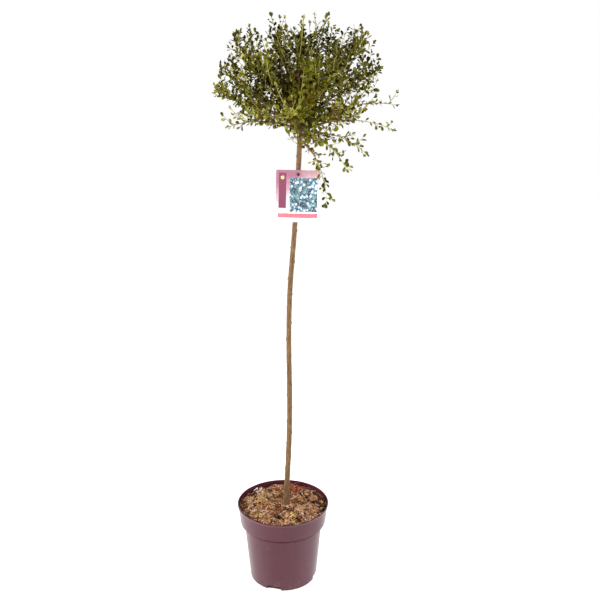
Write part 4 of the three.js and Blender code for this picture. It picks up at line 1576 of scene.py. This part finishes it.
def make_leaves():
    rows, sides = leaf_shape()
    along, half, level = rows.T[:, None]
    roll = dice(LEAVES.seed)
    undersides = leaf_finish("leaf_underside", (74, 70, 14), (102, 97, 36), roughness=0.6)
    for kind, tones in LEAF_COLOURS.items():
        mine = [leaf for leaf in leaves if leaf[4] == kind]
        root, heading, face = (np.array([leaf[i] for leaf in mine])[:, None, :] for i in range(3))
        size = np.array([leaf[3] for leaf in mine])[:, None, None]
        draws = np.array([[roll() for _ in range(4)] for _ in mine])
        to_fold, to_curl, to_widen, to_twist = draws.T[..., None]
        fold, curl = mix(*LEAVES.fold, to_fold), mix(*LEAVES.curl, to_curl)
        across = half * (LEAVES.width_share * (LEAVES.width_spread[0] + LEAVES.width_spread[1] * to_widen))
        twist = (to_twist - 0.5) * LEAVES.twist
        above = fold * np.abs(across) - curl * along**2 + twist * across * along
        above = above + 0.5 * LEAVES.thickness * level
        side = np.cross(heading, face)
        blade = along[..., None] * heading + across[..., None] * side + above[..., None] * face
        starts = len(rows) * np.arange(len(mine))[:, None, None]
        heap = Heap()
        for slot, shapes in enumerate(sides):
            for shape in map(np.array, shapes):
                heap.add_faces((starts + shape).reshape(-1, shape.shape[1]), slot)
        heap.add(root + size * blade)
        name = "leaves_" + kind
        mesh = heap.mesh(name, [leaf_finish(name, *tones, roughness=0.4), undersides])
        sharp_leaf_edges(mesh, len(rows))
        stand_for(shown(name, mesh), "foliage", *nodes_of("foliage_"))


# Plant tag


def card_outline():
    """Points round the card's edge, measured from the hole, anticlockwise from its lower right corner."""
    half, top, bottom, r = TAG.width / 2, TAG.hole_drop, TAG.hole_drop - TAG.height, TAG.corner
    corners = [(half - r, bottom + r), (half - r, top - r), (r - half, top - r), (r - half, bottom + r)]
    points = []
    for k, (x, y) in enumerate(corners):
        leave = 90 * k
        points += arc((x, y), r, leave - 90, leave, TAG.corner_steps)
        end = points[-1]
        next_x, next_y = corners[(k + 1) % 4]
        turn = math.radians(leave)
        goal = (next_x + r * math.cos(turn), next_y + r * math.sin(turn))
        shares = [step / TAG.side_steps for step in range(1, TAG.side_steps)]
        points += [(mix(end[0], goal[0], share), mix(end[1], goal[1], share)) for share in shares]
    return np.array(points)


def card_rings():
    """Flat rings and their heights: the front from the hole outward, then edge, back and the hole's wall."""
    outline = card_outline()
    turns = np.arctan2(outline[:, 1], outline[:, 0])
    hole = TAG.hole * np.stack([np.cos(turns), np.sin(turns)], -1)
    away = outline - hole
    outward = away / np.linalg.norm(away, axis=1, keepdims=True)
    half, ease = TAG.thickness / 2, TAG.ease
    flats = [hole + share * away for share in np.linspace(0, 1, TAG.face_steps)[1:-1]]
    flats = [hole + ease * outward, *flats, outline - ease * outward]
    front = [(flat, half) for flat in flats]
    edge = [(outline, half - ease), (outline, ease - half)]
    back = [(flat, -half) for flat in reversed(flats)]
    return front, edge + back + [(hole, ease - half), (hole, half - ease)]


def hung(flat, level):
    """Points of the card, bowed, pitched and rolled about the middle of its hole."""
    roll, pitch = math.radians(TAG.roll), math.radians(90 + TAG.pitch)
    x, y = flat.T
    z = level - TAG.bow * (x / (TAG.width / 2)) ** 2
    deep = y * math.cos(pitch) - z * math.sin(pitch)
    high = y * math.sin(pitch) + z * math.cos(pitch)
    across = x * math.cos(roll) + high * math.sin(roll)
    return np.stack([across, deep, high * math.cos(roll) - x * math.sin(roll)], -1) + TAG.hole_at


def make_card():
    front, rest = card_rings()
    rings = front + rest
    count = len(rings[0][0])
    a = np.arange(count)
    b = (a + 1) % count
    heap = Heap()
    for k in range(len(rings)):
        start, after = count * k, count * ((k + 1) % len(rings))
        heap.add_faces(np.stack([start + b, start + a, after + a, after + b], -1), int(k >= len(front) - 1))
    heap.add(np.vstack([hung(flat, level) for flat, level in rings]))
    mesh = heap.mesh("card", [card_front_finish(), card_back_finish()], sharp_angle=40)
    corners = np.zeros(len(mesh.loops), np.int32)
    mesh.loops.foreach_get("vertex_index", corners)
    x, y = np.vstack([flat for flat, _ in rings]).T
    places = np.stack([x / TAG.width + 0.5, (y + TAG.height - TAG.hole_drop) / TAG.height], -1)
    mesh.uv_layers.new(name="print").data.foreach_set("uv", places[corners].ravel())
    stand_for(shown("plant_tag", mesh), "tag_card", "tag_card")


# Fields of the print: left, right, low and high edge in millimetres from the card's lower left corner
PRINT = SimpleNamespace(
    picture=(25.5, 78, 19, 83),
    band=(5, 19.5, 26, 92),
    bar=(4, 79, 8, 16.5),
    flower=(12.2, 83),  # a place
    petals=(1.6, 2.2),  # how far out the gaps between the petals lie, and how much further the petals reach
)


def card_front_finish():
    """A printed tag: a blush ground, a field of pale blossom, a dark band with a flower and a coral bar."""
    ink = Finish("tag_print", specular_ior_level=0.5, coat_roughness=0.15)
    spot = ink.node("UVMap", {}, uv_map="print")
    part_across, part_up = ink.axes("XY", spot)
    across, up = part_across * TAG.width, part_up * TAG.height

    def drift(scale, detail=3):
        return ink.noise(scale, detail=detail, place=spot)

    def cells(scale, output):
        sockets = {"Vector": spot, "Scale": scale, "Randomness": 1.0}
        return ink.node("TexVoronoi", sockets, output, feature="F1")

    def within(left, right, low, high, soft=0.35, wobble=0.0):
        edge = wobble * (drift(9, 4) - 0.5)
        sides = ((across - left + edge) / soft).clamped() * ((right - across + edge) / soft).clamped()
        return sides * ((up - low + edge) / soft).clamped() * ((high - up + edge) / soft).clamped()

    slant = (up / TAG.height) * 1.25 - across / TAG.width * 0.55
    blush = ink.ramp(
        (slant + 0.5 * (drift(3.5, 5) - 0.5)).rise(0.12, 0.95),
        (0.0, (252, 249, 250)),
        (0.35, (228, 206, 211)),
        (0.7, (190, 144, 157)),
        (1.0, (164, 104, 124)),
    )
    blooms = cells(15.0, "Distance")
    tint = ink.node("SeparateColor", {"Color": cells(15.0, "Color")})
    leafage = ink.ramp(
        drift(11, 4),
        (0.38, (44, 42, 52)),
        (0.47, (46, 70, 84)),
        (0.56, (86, 124, 132)),
        (0.68, (130, 170, 138)),
    )
    petals = ink.blend(tint, (238, 244, 252), (186, 212, 240))
    picture = ink.layered(
        leafage,
        ((1 - cells(34.0, "Distance").rise(0.24, 0.46)) * 0.7, (158, 188, 212)),
        ((1 - blooms.rise(0.34, 0.5)) * tint.rise(0.2, 0.35), petals),
        ((1 - blooms.rise(0.06, 0.12)) * tint.rise(0.25, 0.4), (188, 214, 130)),
    )
    x, y = across - PRINT.flower[0], up - PRINT.flower[1]
    far = (x * x + y * y) ** 0.5
    angle = ink.node("Math", {0: y, 1: x}, operation="ARCTAN2")
    lobes = abs(ink.node("Math", {0: angle * 2.5}, operation="COSINE"))
    gap, reach = PRINT.petals
    face = ink.layered(
        blush,
        (within(*PRINT.picture), picture),
        (within(*PRINT.band), ink.blend(drift(6), (118, 42, 72), (134, 58, 88))),
        ((far - (gap + reach * lobes)) < 0.0, (238, 232, 150)),
        (far < 1.0, (160, 82, 116)),
        (within(*PRINT.bar, wobble=2.4), ink.blend(drift(8), (222, 100, 116), (238, 122, 134))),
    )
    ink.wear(base_color=face, roughness=0.3 + 0.12 * drift(20), coat_weight=0.25 * drift(5).rise(0.3, 0.6))
    ink.bump(drift(160, 2), 0.00005, 0.4)
    return ink.material


def card_back_finish():
    # The card's white plastic back, toned pale grey as painted shade
    back = Finish("tag_back", specular_ior_level=0.5)
    tone = back.blend(back.noise(40), (206, 204, 202), (220, 219, 217))
    back.wear(base_color=tone, roughness=0.4 + 0.15 * back.noise(90))
    back.bump(back.noise(900), 0.00006, 0.4)
    return back.material


def tie_line():
    """The tie's points: round behind the stem, then both sides forward through the top of the card's hole."""
    _, y, z = TAG.hole_at
    stem = trunk_point_at(z + TIE.climb)
    around = TIE.stem + GAP + TIE.radius
    slant = math.sqrt(0.5) * around
    ahead = y - stem[1]
    base = np.array([stem[0], stem[1], z + TAG.hole - TIE.drop])
    right = [
        (slant, slant, TIE.climb),
        (around, 0, TIE.climb),
        (slant, -slant, TIE.climb * TIE.climb_shares[0]),
        (TIE.half_gap, ahead + TIE.neck, TIE.climb * TIE.climb_shares[1]),
        (TIE.half_gap, ahead, 0),
        (TIE.half_gap, ahead - TIE.nose_reach + TIE.half_gap, 0),
    ]
    left = [(-across, along, up) for across, along, up in reversed(right)]
    line = [(0, around, TIE.climb), *right, (0, ahead - TIE.nose_reach, 0), *left]
    return base + np.array(line, float), base + np.array([0, ahead - TIE.nose_reach, 0])


def strands(turns, lay, shares):
    """The radius of two wires twisted together, as a share, at turns round them and a turn of their own."""
    return shares[0] + shares[1] * np.cos(2 * turns - lay)


def make_tie():
    points, nose = tie_line()
    places = np.linspace(0, 1, TIE.steps, endpoint=False)
    line = spline(points, places, closed=True, power=0.5)
    tangents = np.roll(line, -1, 0) - np.roll(line, 1, 0)
    rings = []
    for place, point, tangent in zip(places, line, tangents):
        radii = TIE.radius * strands(circle(TIE.sides), 2 * np.pi * TIE.twists * place, TIE.strands)
        rings.append(ring_round(point, *square_to(unit(tangent)), radii))
    heap = Heap()
    heap.add(np.vstack(rings), bands(TIE.sides, TIE.steps + 1) % (TIE.sides * TIE.steps))
    along = np.linspace(-KNOT.last_ring, KNOT.last_ring, KNOT.steps)
    thick = (np.sqrt(1 - along**2) * KNOT.radius)[:, None]
    lay = 2 * (KNOT.twist * along)[:, None]
    spine = nose + np.outer(along, [KNOT.half_length, 0, 0])
    heap.add_tube(spine, thick * strands(circle(KNOT.sides), lay, KNOT.strands), KNOT.sides)
    wire = Finish("coated_wire", specular_ior_level=0.5)
    wire.wear(base_color=wire.blend(wire.noise(700), (26, 27, 27), (52, 54, 52)))
    wire.wear(roughness=0.42 + 0.2 * wire.noise(900))
    wire.bump(wire.noise(1600), 0.0001, 0.5)
    stand_for(shown("tag_wire_tie", heap.mesh("tag_wire_tie", [wire.material])), "tie_wire", "tag_tie")


# Stage, light and camera, in metres

FLOOR = SimpleNamespace(reach=9000, rings=12, segments=64, glow=(0.6, 0.9), glow_span=(0.8, 4.0))
WALLS = [(0.4, 1.0), (0.62, 0.05)]  # how light they are up to one height and above another, 1 straight up

# A name, a place, a size and a power in watts
LAMPS = [
    ("front", (-0.7, -2.3, 1.4), 0.9, 11),
    ("left", (-2.2, -0.6, 1.2), 0.9, 56),
    ("right", (2.3, -0.6, 1.3), 0.9, 38),
    ("back", (0.3, 2.3, 1.7), 1.6, 24),
]
LAMP_AIM = Vector((0.03, 0.0, 0.85))

# As fitted to the photograph: its focal length and its width in pixels, and how far the view drops in degrees
CAMERA = SimpleNamespace(
    place=(0.0356, -1.36, 0.929),
    drop=13.6,
    focal_length=715,
    photo_width=600,
    sensor=36,
)


def grey(level):
    return (level, level, level, 1.0)


def make_stage():
    """A round pale floor that glows more towards its edge, so that it runs into the pale surroundings."""
    heap = Heap()
    turns = circle(FLOOR.segments)
    ring = np.stack([np.cos(turns), np.sin(turns), 0 * turns], -1)
    rings = [FLOOR.reach * (k / FLOOR.rings) ** 2 * ring for k in range(1, FLOOR.rings + 1)]
    heap.add(np.vstack([np.zeros((1, 3)), *rings]), *disc_faces(FLOOR.segments, FLOOR.rings))
    plain = Finish("studio_floor", roughness=0.9, specular_ior_level=0.0, emission_strength=1.0)
    x, y = plain.axes("XY")
    far = ((x * x + y * y) ** 0.5).rise(*FLOOR.glow_span)
    plain.wear(base_color=grey(0.9), emission_color=plain.blend(far, *map(grey, FLOOR.glow)))
    shown("floor", heap.mesh("floor", [plain.material]))


def make_surroundings():
    """Pale studio walls all round, darker overhead."""
    world = bpy.data.worlds.new("studio")
    bpy.context.scene.world = world
    world.use_nodes = True
    tree = world.node_tree
    walls = next(n for n in tree.nodes if n.type == "BACKGROUND")
    sight = add_node(tree, "ShaderNodeTexCoord", {}, "Generated")
    height = add_node(tree, "ShaderNodeSeparateXYZ", {"Vector": sight}, "Z")
    glow = add_node(tree, "ShaderNodeValToRGB", {"Fac": height})
    set_stops(glow, [(place, grey(level)) for place, level in WALLS])
    fill(tree, walls.inputs["Color"], glow)


def make_light():
    bpy.context.scene.view_settings.view_transform = "Standard"
    for name, place, size, power in LAMPS:
        light = bpy.data.lights.new(name, "AREA")
        light.size, light.energy = size, power
        lamp = shown(name, light)
        lamp.location = place
        lamp.rotation_euler = (LAMP_AIM - Vector(place)).to_track_quat("-Z", "Y").to_euler()


def make_camera():
    camera = bpy.data.cameras.new("camera")
    camera.sensor_width = CAMERA.sensor
    camera.lens = CAMERA.sensor * CAMERA.focal_length / CAMERA.photo_width
    camera.clip_end = 50
    view = shown("camera", camera)
    view.location = CAMERA.place
    view.rotation_euler = (math.radians(90 - CAMERA.drop), 0, 0)
    bpy.context.scene.camera = view


make_camera()
make_stage()
make_surroundings()
make_light()
make_pot()
make_soil()
make_bits()
make_stem()
make_wood()
make_leaves()
make_card()
make_tie()
